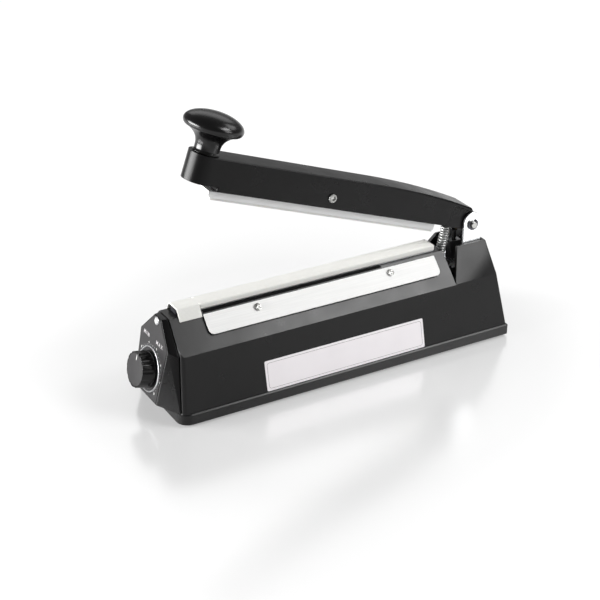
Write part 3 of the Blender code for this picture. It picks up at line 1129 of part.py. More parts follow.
def make_transformer():
    """The transformer on the bottom plate: laminated core with two windows, and the coil in them."""
    centre = HINGE_END - TRANSFORMER_FROM_HINGE_END
    low = BOTTOM_TOP + CLEARANCE
    high = low + CORE_HEIGHT
    half_length, half_width = CORE_LENGTH / 2, CORE_WIDTH / 2
    core = box("transformer_core", (centre - half_length, -half_width, low),
               (centre + half_length, half_width, high), CORE_GREY)
    window_low = low + (CORE_HEIGHT - CORE_WINDOW_HEIGHT) / 2
    window_high = window_low + CORE_WINDOW_HEIGHT
    limb = CORE_LIMB / 2
    for name, x0, x1 in (("window_a", -limb - CORE_WINDOW, -limb), ("window_b", limb, limb + CORE_WINDOW)):
        cut(core, box(name, (centre + x0, -BASE_WIDTH, window_low), (centre + x1, BASE_WIDTH, window_high)))
    coil_x = limb + CORE_WINDOW - CLEARANCE
    coil_y = half_width + COIL_OVERHANG
    outline = [(centre + x, y) for x, y in rounded_rectangle(-coil_x, coil_x, coil_y, COIL_CORNER, 4)]
    coil = extruded("transformer_coil", outline, window_low + CLEARANCE, window_high - CLEARANCE, "XY",
                    COIL_AMBER)
    cut(coil, box("coil_bore", (centre - limb - CLEARANCE, -half_width - CLEARANCE, 0.0),
                  (centre + limb + CLEARANCE, half_width + CLEARANCE, high)))


def make_cord_bush():
    """The bush in the hinge-end wall that the mains lead passes through."""
    flange_top = CLEARANCE + CORD_BUSH_FLANGE_THICKNESS
    edge = CORD_BUSH_ROUND
    turned("cord_bush", [(CORD_BUSH_BORE + edge, flange_top), (CORD_BUSH_FLANGE - edge, flange_top),
                         (CORD_BUSH_FLANGE, flange_top - edge), (CORD_BUSH_FLANGE, CLEARANCE),
                         (CORD_BUSH_RADIUS, CLEARANCE), (CORD_BUSH_RADIUS, -CORD_BUSH_DEPTH),
                         (CORD_BUSH_BORE, -CORD_BUSH_DEPTH), (CORD_BUSH_BORE, flange_top - edge)],
           RUBBER, steps=28, closed=True, parent=BUSH_AXIS)


make_housing()
make_underside()
make_end_cap()
make_dial()
make_heater()
make_clamps()
make_hinge()
make_arm()
make_handle()
make_seal_bar()
make_spring()
make_switch()
make_transformer()
make_cord_bush()
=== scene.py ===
# %% [markdown]
# # An impulse heat sealer in a plain studio
# The machine seals plastic bags. A hinged arm presses the bag on a heated strip under a slippery cloth,
# and a timer behind the dial decides how long the current flows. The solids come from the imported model,
# and this lesson gives them finishes and rebuilds the pieces that need softer, rounder or finer shapes.

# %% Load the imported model
import json
import math

import bmesh
import bpy
import numpy as np
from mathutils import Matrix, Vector


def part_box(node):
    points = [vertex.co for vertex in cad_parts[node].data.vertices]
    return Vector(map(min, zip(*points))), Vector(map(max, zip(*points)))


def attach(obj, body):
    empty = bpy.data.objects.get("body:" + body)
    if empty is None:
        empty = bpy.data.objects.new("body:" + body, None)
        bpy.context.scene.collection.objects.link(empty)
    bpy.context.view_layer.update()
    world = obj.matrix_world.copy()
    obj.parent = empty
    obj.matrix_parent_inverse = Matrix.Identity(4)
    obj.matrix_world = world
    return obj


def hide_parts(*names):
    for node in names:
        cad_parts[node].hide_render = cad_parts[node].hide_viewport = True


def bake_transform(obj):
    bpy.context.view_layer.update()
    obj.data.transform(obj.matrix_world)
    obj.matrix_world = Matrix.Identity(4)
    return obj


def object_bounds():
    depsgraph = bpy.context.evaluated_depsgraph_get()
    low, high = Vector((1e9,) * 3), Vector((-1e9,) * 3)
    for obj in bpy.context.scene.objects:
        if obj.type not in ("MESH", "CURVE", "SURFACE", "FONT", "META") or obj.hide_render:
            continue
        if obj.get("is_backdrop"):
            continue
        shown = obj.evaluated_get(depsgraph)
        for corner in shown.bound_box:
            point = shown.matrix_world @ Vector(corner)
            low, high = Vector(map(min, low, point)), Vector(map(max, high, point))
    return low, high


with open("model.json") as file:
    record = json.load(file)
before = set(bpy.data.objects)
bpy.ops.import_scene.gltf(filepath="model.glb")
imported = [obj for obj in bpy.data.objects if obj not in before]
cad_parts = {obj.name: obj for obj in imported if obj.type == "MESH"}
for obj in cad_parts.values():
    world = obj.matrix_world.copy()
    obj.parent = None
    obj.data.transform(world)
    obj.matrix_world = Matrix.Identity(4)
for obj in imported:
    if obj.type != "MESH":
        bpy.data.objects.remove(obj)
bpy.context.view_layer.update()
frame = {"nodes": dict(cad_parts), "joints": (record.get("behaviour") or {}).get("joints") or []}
scene = bpy.context.scene
nodes = frame["nodes"]
joints = {joint["name"]: joint for joint in frame["joints"]}
MM = 0.001

# %% [markdown]
# ## The camera
# The photograph is taken from the front left, where the dial is, and a little from above, with a long lens.
# A camera can be set by eye, but here its place and lens were worked out from the machine's straight edges,
# so that the render lies on the photograph.

# %% Camera
CAMERA_PLACE = Vector((-0.50974, -0.87224, 0.57196))
CAMERA_AZIMUTH = math.radians(-29.586)
CAMERA_ELEVATION = math.radians(27.168)
CAMERA_LENS = 89.16
CAMERA_SENSOR = 36.0


def put(name, data):
    """A new object at the origin, linked to the scene."""
    item = bpy.data.objects.new(name, data)
    scene.collection.objects.link(item)
    return item


back = Vector((math.sin(CAMERA_AZIMUTH) * math.cos(CAMERA_ELEVATION),
               -math.cos(CAMERA_AZIMUTH) * math.cos(CAMERA_ELEVATION),
               math.sin(CAMERA_ELEVATION)))
camera = put("camera", bpy.data.cameras.new("camera"))
camera.data.sensor_width = CAMERA_SENSOR
camera.data.lens = CAMERA_LENS
camera.location = CAMERA_PLACE
camera.rotation_euler = (-back).to_track_quat("-Z", "Y").to_euler()
scene.camera = camera
scene.view_settings.view_transform = "Standard"
print("camera looks along", [round(part, 3) for part in -back])

# %% [markdown]
# ## Floor, sky and lamps
# A product photograph is lit by large soft boxes over a white sweep. The sky here is one dim, even grey.
# The floor is a pale sheet with a glow that only the camera, mirrors and glass see, so it looks white and
# throws no light. The glow is painted light and shade: it is low round the machine, a painted shadow there,
# and it fades again far away as a painted fall-off. Five soft boxes give the light: the key above the right
# front shoulder, one in front, one on each side, and a card behind, which the floor mirrors.

# %% Node helpers
def fill(node, **sockets):
    """Set plain values on a node's own sockets, with _ for a space in a socket's name."""
    for socket, value in sockets.items():
        node.inputs[socket.replace("_", " ")].default_value = value


def add_node(tree, kind, **sockets):
    """A new shader node with plain values on its own sockets."""
    node = tree.nodes.new("ShaderNode" + kind)
    fill(node, **sockets)
    return node


def math_node(tree, operation, first, second):
    """A socket that joins two others by one step of arithmetic."""
    node = add_node(tree, "Math")
    node.operation = operation
    tree.links.new(first, node.inputs[0])
    tree.links.new(second, node.inputs[1])
    return node.outputs[0]


def ramp_node(tree, value, stops):
    """A colour socket that goes through (place, colour) stops as a value goes from 0 to 1."""
    ramp = add_node(tree, "ValToRGB")
    elements = ramp.color_ramp.elements
    elements[0].position = stops[0][0]
    elements[1].position = stops[-1][0]
    for place, _ in stops[1:-1]:
        elements.new(place)
    for element, (_, colour) in zip(elements, stops):
        element.color = (*colour, 1.0)
    tree.links.new(value, ramp.inputs["Fac"])
    return ramp.outputs["Color"]


def show_ray(tree):
    """A socket that is 1 for rays from the camera, from a mirror or through glass."""
    path = add_node(tree, "LightPath").outputs
    seen = math_node(tree, "MAXIMUM", path["Is Camera Ray"], path["Is Glossy Ray"])
    return math_node(tree, "MAXIMUM", seen, path["Is Transmission Ray"])


# %% Sky and lamps
SKY_LIGHT = 0.20
WHITE = (1.0, 1.0, 1.0, 1.0)
AIM = (0.0, 0.0, 0.09)


def soft_box(name, place, aim, size, watts, spread=180.0):
    """A rectangular area lamp that faces a point; a small spread keeps its light near its middle line."""
    lamp = bpy.data.lights.new(name, "AREA")
    lamp.shape = "RECTANGLE"
    lamp.size, lamp.size_y = size
    lamp.energy = watts
    lamp.spread = math.radians(spread)
    item = put(name, lamp)
    item.location = place
    item.rotation_euler = (Vector(aim) - Vector(place)).to_track_quat("-Z", "Y").to_euler()
    item.visible_camera = False


world = bpy.data.worlds.new("studio")
scene.world = world
world.use_nodes = True
fill(world.node_tree.nodes["Background"], Color=WHITE, Strength=SKY_LIGHT)

soft_box("key_box", (0.66, -0.57, 0.98), AIM, size=(0.60, 0.40), watts=8.7)
soft_box("front_box", (0.74, -0.96, 0.56), (0.13, -0.02, 0.06), size=(0.56, 0.42), watts=4.9)
soft_box("left_box", (-1.25, 0.36, 0.28), (-0.10, 0.0, 0.17), size=(1.10, 0.36), watts=12.6, spread=100.0)
soft_box("right_box", (1.15, 0.10, 0.98), AIM, size=(0.70, 0.50), watts=3.2)
soft_box("back_card", (0.95, 1.62, 1.14), (0.0, -0.1, 0.0), size=(1.7, 0.8), watts=4.4)

# %% Floor sheet
FLOOR_HALF = 30.0
FLOOR_WHITE = 0.46
FLOOR_ROUGH = 0.20
FLOOR_IOR = 2.5

floor_corners = FLOOR_HALF * np.array([(-1, -1, 0), (1, -1, 0), (1, 1, 0), (-1, 1, 0)])
floor_mesh = bpy.data.meshes.new("floor")
floor_mesh.from_pydata(floor_corners.tolist(), [], [(0, 1, 2, 3)])
floor = put("floor", floor_mesh)
sheet = bpy.data.materials.new("white_sweep")
sheet.use_nodes = True
sweep = sheet.node_tree
paint = sweep.nodes["Principled BSDF"]
fill(paint, Base_Color=(FLOOR_WHITE, FLOOR_WHITE, FLOOR_WHITE, 1.0), Roughness=FLOOR_ROUGH, IOR=FLOOR_IOR)
floor_mesh.materials.append(sheet)
floor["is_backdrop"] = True
print("floor:", 2 * FLOOR_HALF, "m wide")

# %% Floor glow
FLOOR_REACH = 2.5
# Painted light and shade on the floor: the glow is dim close to the machine, as a painted shadow, brightest
# about a metre out, and fades far away.
FLOOR_GLOW = [(0.18, 0.31), (0.33, 0.54), (0.50, 0.73), (0.90, 0.82), (1.40, 0.72), (2.30, 0.42)]

glow = add_node(sweep, "Emission", Color=WHITE)
floor_place = add_node(sweep, "TexCoord")
far = add_node(sweep, "VectorMath")
far.operation = "LENGTH"
sweep.links.new(floor_place.outputs["Object"], far.inputs[0])
span = add_node(sweep, "MapRange", From_Max=FLOOR_REACH)
sweep.links.new(far.outputs["Value"], span.inputs["Value"])
glow_stops = [(distance / FLOOR_REACH, (bright, bright, bright)) for distance, bright in FLOOR_GLOW]
painted_floor_light = ramp_node(sweep, span.outputs["Result"], glow_stops)
sweep.links.new(math_node(sweep, "MULTIPLY", show_ray(sweep), painted_floor_light), glow.inputs["Strength"])
both = add_node(sweep, "AddShader")
sweep.links.new(paint.outputs[0], both.inputs[0])
sweep.links.new(glow.outputs[0], both.inputs[1])
sweep.links.new(both.outputs[0], sweep.nodes["Material Output"].inputs["Surface"])
print("glow:", len(FLOOR_GLOW), "stops up to", FLOOR_GLOW[-1][0], "m from the machine")

# %% [markdown]
# ## Finishes
# Every surface of a real machine has a grain: moulded plastic carries the etched skin of its mould,
# painted steel is faintly rippled, drawn metal is brushed along its length. Each finish here is one
# Principled shader whose roughness, colour and bump come from noise on Object coordinates, in metres, so
# nothing has to be unwrapped and a grain has its true size on every piece.

# %% Finish helpers
EVEN = (1.0, 1.0, 1.0)
GRAIN_SPAN = (0.3, 0.7)
TONE_SPAN = (0.35, 0.65)
GRAIN_DETAIL = 2.0


def finish(name, colour, roughness, metallic=0.0, **sockets):
    """A Principled material with plain values on its own sockets."""
    material = bpy.data.materials.new(name)
    material.use_nodes = True
    shader = material.node_tree.nodes["Principled BSDF"]
    fill(shader, Base_Color=(*colour, 1.0), Roughness=roughness, Metallic=metallic, **sockets)
    return material


def noise_on(tree, size, stretch=EVEN, detail=3.0):
    """Noise on Object coordinates with grains of about one size, longer where stretch is larger."""
    place = add_node(tree, "TexCoord")
    mapping = add_node(tree, "Mapping", Scale=[1.0 / (size * long) for long in stretch])
    noise = add_node(tree, "TexNoise", Scale=1.0, Detail=detail)
    tree.links.new(place.outputs["Object"], mapping.inputs["Vector"])
    tree.links.new(mapping.outputs["Vector"], noise.inputs["Vector"])
    return noise.outputs["Fac"]


def vary_roughness(material, size, low, high, stretch=EVEN):
    """Roughness that drifts between two values over patches of a size."""
    tree = material.node_tree
    start, end = GRAIN_SPAN
    span = add_node(tree, "MapRange", From_Min=start, From_Max=end, To_Min=low, To_Max=high)
    tree.links.new(noise_on(tree, size, stretch), span.inputs["Value"])
    tree.links.new(span.outputs["Result"], tree.nodes["Principled BSDF"].inputs["Roughness"])


def vary_colour(material, size, first, second, stretch=EVEN):
    """Colour that drifts between two tones over patches of a size."""
    tree = material.node_tree
    colour = ramp_node(tree, noise_on(tree, size, stretch), list(zip(TONE_SPAN, (first, second))))
    tree.links.new(colour, tree.nodes["Principled BSDF"].inputs["Base Color"])


def raise_grain(material, size, depth, strength=0.5, stretch=EVEN):
    """A bump of fine grains, depth metres high."""
    tree = material.node_tree
    bump = add_node(tree, "Bump", Strength=strength, Distance=depth)
    tree.links.new(noise_on(tree, size, stretch, GRAIN_DETAIL), bump.inputs["Height"])
    tree.links.new(bump.outputs["Normal"], tree.nodes["Principled BSDF"].inputs["Normal"])


# %% Plastics and rubber
TONE_PATCH = 30 * MM
POLISH_PATCH = 18 * MM
DARK_TINT = (1.0, 0.96, 1.0)
LIGHT_TINT = (1.25, 1.2, 1.25)


def plastic(name, tone, grain, rough, level):
    """Black moulded plastic, its polish drifting where hands rub it: grain is (size, depth)."""
    material = finish(name, (tone, tone, tone), rough[0], Specular_IOR_Level=level)
    tones = [[tone * part for part in tint] for tint in (DARK_TINT, LIGHT_TINT)]
    vary_colour(material, TONE_PATCH, *tones)
    vary_roughness(material, POLISH_PATCH, *rough)
    raise_grain(material, *grain)
    return material


BLACK_SHELL = plastic("etched_black_shell", 0.0036, (0.35 * MM, 0.010 * MM), (0.27, 0.34), level=0.345)
BLACK_CAP = plastic("polished_black_cap", 0.0030, (0.60 * MM, 0.004 * MM), (0.22, 0.30), level=0.16)
BLACK_ARM = plastic("painted_black_arm", 0.0032, (0.90 * MM, 0.006 * MM), (0.26, 0.33), level=0.15)
BLACK_KNOB = plastic("glossy_black_knob", 0.0026, (1.20 * MM, 0.003 * MM), (0.20, 0.26), level=0.34)
GREY_PLATE = plastic("dark_grey_plate", 0.018, (0.30 * MM, 0.004 * MM), (0.36, 0.44), level=0.18)
RUBBER = plastic("soft_black_rubber", 0.018, (0.30 * MM, 0.020 * MM), (0.65, 0.85), level=0.30)
SWITCH_PLASTIC = plastic("dark_switch_case", 0.020, (0.25 * MM, 0.006 * MM), (0.40, 0.50), level=0.40)
# Painted shade: a matte black finish for the shoulder strips that stand for the shadow beside the clamp
# plates.
PAINTED_SHADE_STRIP = plastic("painted_shade_strip", 0.004, (0.40 * MM, 0.010 * MM), (0.75, 0.90), level=0.08)
print("finishes so far:", len(bpy.data.materials))

# %% Metals
ALONG_BASE = (60.0, 1.0, 1.0)
DRAWN_GRAIN = 0.25 * MM
DRAWN_DEEP = 0.006 * MM
DRAWN_PATCH = 0.6 * MM
DRAWN_BUMP = 0.3
METAL_BUMP = 0.4


def metal(name, colour, rough, brushed=EVEN, size=0.4 * MM, depth=0.004 * MM):
    """Bare metal with drawn or plated grain: brushed gives how much longer it is along X, Y and Z."""
    material = finish(name, colour, rough[0], 1.0)
    vary_roughness(material, size, *rough, brushed)
    raise_grain(material, size, depth, METAL_BUMP, brushed)
    return material


def draw_out(material, rough, dark, light):
    """The fine grain of pale anodised metal, drawn out along the base."""
    vary_roughness(material, DRAWN_GRAIN, *rough, ALONG_BASE)
    vary_colour(material, DRAWN_PATCH, dark, light, ALONG_BASE)
    raise_grain(material, DRAWN_GRAIN, DRAWN_DEEP, DRAWN_BUMP, ALONG_BASE)


PALE_ALUMINIUM = finish("satin_anodised_plate", (0.86, 0.86, 0.85), 0.56, 0.04, Specular_IOR_Level=0.12)
draw_out(PALE_ALUMINIUM, (0.52, 0.62), dark=(0.84, 0.84, 0.83), light=(0.89, 0.89, 0.88))
BAR_ALUMINIUM = finish("satin_pressing_bar", (0.95, 0.95, 0.95), 0.40, 0.10, Specular_IOR_Level=0.50)
draw_out(BAR_ALUMINIUM, (0.36, 0.48), dark=(0.93, 0.93, 0.93), light=(0.97, 0.97, 0.97))
BRIGHT_ZINC = metal("bright_zinc", (0.78, 0.79, 0.80), (0.22, 0.36), size=3.0 * MM)
SCREW_STEEL = metal("nickel_screw", (0.34, 0.34, 0.33), (0.22, 0.34))
SPRING_STEEL = metal("drawn_spring_wire", (0.60, 0.60, 0.59), (0.30, 0.42))
DARK_STEEL = metal("blackened_steel", (0.09, 0.09, 0.10), (0.32, 0.48))
RING_ALUMINIUM = metal("turned_ring", (0.42, 0.42, 0.43), (0.24, 0.34))
BED_ALUMINIUM = metal("drawn_bed_bar", (0.70, 0.71, 0.72), (0.30, 0.45), ALONG_BASE)
BRASS = metal("brass", (0.72, 0.54, 0.25), (0.24, 0.36))
NICHROME = metal("nichrome_strip", (0.46, 0.44, 0.42), (0.35, 0.48), ALONG_BASE)
PLATE_STEEL = metal("painted_base_plate", (0.07, 0.07, 0.075), (0.40, 0.52), size=1.5 * MM)
print("finishes with metals:", len(bpy.data.materials))

# %% [markdown]
# ## Woven and wound finishes
# The cloth is woven glass with a slippery coat, so its threads show as a fine grid that follows the sheet:
# its UV map is laid out in metres. The transformer's core is a stack of thin sheets and its coil is wound
# with amber tape, and both show as bands across the piece. Threads and sheets could be built one by one,
# but a wave in the finish shows them at their true pitch with no extra faces.

# %% Banded finishes
BAND_RATE = 20
THREAD_BUMP = 0.35


def bands(tree, vector, axis, pitch):
    """A wave of one pitch along an axis: Blender's band texture repeats every 2 pi / (20 scale)."""
    wave = add_node(tree, "TexWave", Scale=2 * math.pi / (BAND_RATE * pitch))
    wave.wave_type = "BANDS"
    wave.bands_direction = axis
    tree.links.new(vector, wave.inputs["Vector"])
    return wave.outputs["Fac"]


def mark(material, value, stops, depth, strength=1.0):
    """One value picks the colour from stops and raises a bump, depth metres high."""
    tree = material.node_tree
    shader = tree.nodes["Principled BSDF"]
    bump = add_node(tree, "Bump", Strength=strength, Distance=depth)
    tree.links.new(value, bump.inputs["Height"])
    tree.links.new(ramp_node(tree, value, stops), shader.inputs["Base Color"])
    tree.links.new(bump.outputs["Normal"], shader.inputs["Normal"])


def banded(name, dark, light, roughness, metallic, axis, pitch, depth):
    """Stacked sheets or wound turns: bands of two tones along an axis, with a bump at each."""
    material = finish(name, light, roughness, metallic)
    place = add_node(material.node_tree, "TexCoord")
    wave = bands(material.node_tree, place.outputs["Object"], axis, pitch)
    mark(material, wave, [(0.0, dark), (1.0, light)], depth)
    return material


def woven(name, thread, gap, pitch, depth):
    """Cloth: two waves on the sheet's own UV map cross each other, one thread over and one under."""
    material = finish(name, thread, 0.50, Specular_IOR_Level=0.20, Sheen_Weight=0.05)
    tree = material.node_tree
    place = add_node(tree, "TexCoord")
    warp = bands(tree, place.outputs["UV"], "X", pitch)
    weft = bands(tree, place.outputs["UV"], "Y", pitch)
    mark(material, math_node(tree, "MULTIPLY", warp, weft), [(0.0, gap), (0.5, thread)], depth, THREAD_BUMP)
    return material


RELEASE_CLOTH = woven("woven_release_cloth", thread=(0.84, 0.84, 0.81), gap=(0.75, 0.745, 0.71),
                      pitch=0.9 * MM, depth=0.03 * MM)
GLASS_TAPE = banded("glass_tape", (0.52, 0.40, 0.24), (0.64, 0.52, 0.34), 0.55, 0.0,
                    axis="X", pitch=1.0 * MM, depth=0.02 * MM)
CORE_SHEETS = banded("core_sheets", (0.09, 0.09, 0.10), (0.22, 0.22, 0.23), 0.5, 0.7,
                     axis="Y", pitch=0.6 * MM, depth=0.05 * MM)
COIL_TAPE = banded("coil_tape", (0.44, 0.24, 0.06), (0.62, 0.38, 0.11), 0.4, 0.0,
                   axis="Z", pitch=3.0 * MM, depth=0.10 * MM)
print("finishes with bands:", len(bpy.data.materials))

# %% Silicone, board, lens, inks and label film
SILICONE = finish("white_silicone", (0.84, 0.84, 0.82), 0.45, Subsurface_Weight=0.08,
                  Subsurface_Scale=1.5 * MM)
vary_colour(SILICONE, 12 * MM, (0.80, 0.80, 0.78), (0.86, 0.86, 0.84))
raise_grain(SILICONE, 0.5 * MM, 0.010 * MM)
BOARD_GREEN = finish("green_board", (0.04, 0.17, 0.07), 0.42)
vary_colour(BOARD_GREEN, 3.0 * MM, (0.03, 0.14, 0.06), (0.06, 0.22, 0.09), stretch=(4.0, 1.0, 1.0))
raise_grain(BOARD_GREEN, 1.5 * MM, 0.03 * MM)
LENS = finish("frosted_lens", (0.80, 0.80, 0.78), 0.16, Transmission_Weight=0.25, IOR=1.49)
vary_roughness(LENS, 1.0 * MM, 0.12, 0.22)
WHITE_INK = finish("white_ink", (0.80, 0.80, 0.79), 0.5)
vary_colour(WHITE_INK, 1.0 * MM, (0.74, 0.74, 0.73), (0.84, 0.84, 0.83))
LABEL_FILM = finish("white_label_film", (0.93, 0.892, 0.914), 0.38, Specular_IOR_Level=0.40)
vary_colour(LABEL_FILM, 25 * MM, (0.915, 0.878, 0.90), (0.945, 0.908, 0.93))
raise_grain(LABEL_FILM, 4.0 * MM, 0.02 * MM, 0.3)
GREY_INK = finish("grey_ink", (0.42, 0.40, 0.41), 0.45)
vary_colour(GREY_INK, 1.5 * MM, (0.38, 0.36, 0.37), (0.46, 0.44, 0.45))
print("all finishes:", len(bpy.data.materials))

# %% [markdown]
# ## From arrays to meshes
# A shape here is a function of two numbers worked out on a whole grid at once, which is quicker than
# placing points one by one. One helper turns the grid into a mesh, welds the seams and poles, points the
# faces outwards and hangs the piece on its body.

# %% Mesh helpers
WELD = 1e-6
SLIVER = 1e-7


def grid_faces(rows, columns, wrap=False):
    """Quads of a grid of points in rows and columns; wrap joins the last column to the first."""
    row = np.arange(rows - 1)[:, None]
    column = np.arange(columns if wrap else columns - 1)[None, :]
    after = (column + 1) % columns
    corners = [row * columns + column, row * columns + after,
               (row + 1) * columns + after, (row + 1) * columns + column]
    return np.stack(corners, -1).reshape(-1, 4)


def weld(mesh, outwards=True):
    """Merge doubled points, drop slivers, point the faces outwards and shade them smooth."""
    work = bmesh.new()
    work.from_mesh(mesh)
    bmesh.ops.remove_doubles(work, verts=work.verts, dist=WELD)
    bmesh.ops.dissolve_degenerate(work, edges=work.edges, dist=SLIVER)
    if outwards:
        bmesh.ops.recalc_face_normals(work, faces=work.faces)
    work.to_mesh(mesh)
    work.free()
    mesh.shade_smooth()


def add_piece(name, points, faces, material, body, sharp=35.0, outwards=True):
    """A piece from points and faces: welded, smooth apart from sharp edges, riding on a body."""
    mesh = bpy.data.meshes.new(name)
    mesh.from_pydata(np.asarray(points).reshape(-1, 3).tolist(), [], np.asarray(faces).tolist())
    weld(mesh, outwards)
    mesh.set_sharp_from_angle(angle=math.radians(sharp))
    mesh.materials.append(material)
    piece = put(name, mesh)
    if body:
        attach(piece, body)
    return piece


def add_rings(name, rings, material, body, sharp=35.0, outwards=True):
    """A piece from closed rings of points, each joined to the next."""
    faces = grid_faces(rings.shape[0], rings.shape[1], wrap=True)
    return add_piece(name, rings, faces, material, body, sharp, outwards)


# %% Profile helpers
CORNER_SHARE = 0.45


def eased(profile, radius, steps=4):
    """A profile whose inner corners become short curves: (1-t)^2 A + 2t(1-t) P + t^2 B at each corner P."""
    profile = np.asarray(profile, float)
    corner = profile[1:-1]
    before = profile[:-2] - corner
    after = profile[2:] - corner
    long_before = np.linalg.norm(before, axis=1, keepdims=True)
    long_after = np.linalg.norm(after, axis=1, keepdims=True)
    reach = np.minimum(radius, CORNER_SHARE * np.minimum(long_before, long_after))
    start = corner + before / long_before * reach
    end = corner + after / long_after * reach
    t = np.linspace(0.0, 1.0, steps + 1)[None, :, None]
    curve = (1 - t) ** 2 * start[:, None] + 2 * t * (1 - t) * corner[:, None] + t ** 2 * end[:, None]
    return np.concatenate([profile[:1], curve.reshape(-1, 2), profile[-1:]])


def full_turn(steps):
    """The angles of one full turn in even steps, as a row."""
    return np.linspace(0.0, 2 * np.pi, steps, endpoint=False)[None, :]


def lathe(profile, steps=72):
    """A profile of (radius, height) turned about Z: x = r cos t, y = r sin t, z = h."""
    turn = full_turn(steps)
    radius = profile[:, 0][:, None]
    height = profile[:, 1][:, None]
    return np.stack([radius * np.cos(turn), radius * np.sin(turn), height + 0 * turn], -1)


def mesh_points(mesh):
    """The points of a mesh, one (x, y, z) to a row."""
    flat = np.zeros(len(mesh.vertices) * 3)
    mesh.vertices.foreach_get("co", flat)
    return flat.reshape(-1, 3)


def at_height(flat, height):
    """Flat points (x, y) lifted to one height."""
    return np.concatenate([flat, np.full(flat.shape[:-1] + (1,), height)], -1)


def set_at(points, origin, axes):
    """Points moved from a piece's own axes (columns X, Y, Z) to their place in the frame."""
    return points @ np.asarray(axes, float).T + np.asarray(origin, float)


def add_lathe(name, profile, origin, axes, material, body, steps=72, sharp=35.0):
    """A turned piece at a place."""
    points = set_at(lathe(np.asarray(profile, float), steps), origin, axes)
    return add_rings(name, points, material, body, sharp)


# %% The axes that pieces are built on
ARM_OPEN = math.radians(joints["arm_hinge"]["range_deg"][1])
hinge = np.array(joints["arm_hinge"]["pos_m"])
arm_axes = np.array([[math.cos(ARM_OPEN), 0.0, math.sin(ARM_OPEN)],
                     [0.0, 1.0, 0.0],
                     [-math.sin(ARM_OPEN), 0.0, math.cos(ARM_OPEN)]])
dial = np.array(joints["dial_turn"]["pos_m"])
dial_out = np.array(joints["dial_turn"]["axis"])
dial_up = np.array([dial_out[2], 0.0, -dial_out[0]])
dial_axes = np.stack([dial_up, [0.0, 1.0, 0.0], dial_out], 1)
print("hinge at", hinge.round(4), "dial faces", dial_out.round(3), "and up is", dial_up.round(3))

# %% [markdown]
# ## The handle
# The arm ends in a mushroom of black plastic that the palm pushes down. It is a turned shape, so only its
# profile has to be drawn: a lens-shaped dome, a thin round lip, a trumpet underside and a straight stem.

# %% Handle knob
HANDLE_OUT = 244.0 * MM
HANDLE_LOW = 19.3 * MM
STEM_RADIUS = 9.2 * MM
CAP_RADIUS = 22.0 * MM
CAP_LOW = 16.2 * MM
RIM_HIGH = 20.0 * MM
CAP_TOP = 29.3 * MM
LIP_IN = 3.2 * MM
STEM_LOW = 1.6 * MM
FOOT_RIM = 0.6 * MM
DOME_STEPS = 28
LIP_STEPS = 12
UNDER_STEPS = 22
HANDLE_STEPS = 96

# Dome and lip are quarter ellipses, and the underside narrows by a cube: r = stem + (lip - stem) (1 - t)^3.
turn = np.linspace(0.0, np.pi / 2, DOME_STEPS)
dome = np.stack([CAP_RADIUS * np.sin(turn), RIM_HIGH + (CAP_TOP - RIM_HIGH) * np.cos(turn)], 1)
roll = np.linspace(0.0, np.pi / 2, LIP_STEPS)[1:]
lip_depth = RIM_HIGH - CAP_LOW
lip = np.stack([CAP_RADIUS - LIP_IN * (1 - np.cos(roll)), RIM_HIGH - lip_depth * np.sin(roll)], 1)
fall = np.linspace(0.0, 1.0, UNDER_STEPS)[1:]
under = np.stack([STEM_RADIUS + (lip[-1, 0] - STEM_RADIUS) * (1 - fall) ** 3,
                  CAP_LOW - fall * (CAP_LOW - STEM_LOW)], 1)
stem_foot = np.array([[STEM_RADIUS + FOOT_RIM, FOOT_RIM], [STEM_RADIUS + FOOT_RIM, 0.0], [0.0, 0.0]])
handle_profile = np.concatenate([dome, lip, under, stem_foot])
handle_place = set_at(np.array([-HANDLE_OUT, 0.0, HANDLE_LOW]), hinge, arm_axes)
handle = add_lathe("handle_mushroom", handle_profile, handle_place, arm_axes, BLACK_KNOB, "arm",
                   HANDLE_STEPS, sharp=50.0)
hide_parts("handle_knob")
print("handle:", len(handle.data.polygons), "faces, top at", handle_profile[0, 1] / MM, "mm")

# %% [markdown]
# ## The timer dial
# The knob is a fluted plug with a flat grey face and a white line that points at the scale. Its side is a
# turned surface whose radius dips at each flute, so one formula in height and angle makes all of it. The
# profiles are lists of radius and height in millimetres.

# %% Dial knob
KNOB_LOW = 1.3 * MM
KNOB_HIGH = 11.75 * MM
KNOB_PROFILE = [(0.0, 11.35), (12.5, 11.35), (12.7, 11.75), (13.4, 11.75), (13.9, 2.9), (14.0, 1.3),
                (7.0, 1.3), (7.0, 2.7), (0.0, 2.7)]
KNOB_EASE = 0.9
FLUTES = 12
FLUTE_DEEP = 0.55 * MM
GRIP_LOW = 1.8 * MM
GRIP_FADE = 1.5 * MM
GRIP_RADIUS = 12.9 * MM
KNOB_STEPS = 240

knob_outline = eased(KNOB_PROFILE, KNOB_EASE, steps=5) * MM
knob_points = lathe(knob_outline, KNOB_STEPS)
# Where cos (flutes times angle + pi) is positive, the radius loses the depth times its square. The flutes
# fade in above the skirt, and the half turn puts the white line between two of them.
rim = np.hypot(knob_points[:, :, 0], knob_points[:, :, 1])
grip = np.clip((knob_points[:, :, 2] - KNOB_LOW - GRIP_LOW) / GRIP_FADE, 0.0, 1.0) * (rim > GRIP_RADIUS)
flute = np.clip(np.cos(FLUTES * full_turn(KNOB_STEPS) + np.pi), 0.0, 1.0) ** 2
squeeze = 1.0 - FLUTE_DEEP * grip * flute / np.maximum(rim, MM)
knob_points[:, :, :2] *= squeeze[:, :, None]
knob = add_rings("fluted_dial_knob", set_at(knob_points, dial, dial_axes), BLACK_KNOB, "dial", sharp=50.0)
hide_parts("dial_knob")
print("knob:", len(knob.data.polygons), "faces")

# %% Dial face
DISC_PROFILE = [(0.0, 11.7), (12.25, 11.7), (12.4, 11.4), (0.0, 11.4)]
DISC_EASE = 0.15

face_profile = eased(DISC_PROFILE, DISC_EASE) * MM
knob_face = add_lathe("dial_knob_face", face_profile, dial, dial_axes, GREY_PLATE, "dial", steps=96)
print("face:", len(knob_face.data.polygons), "faces")

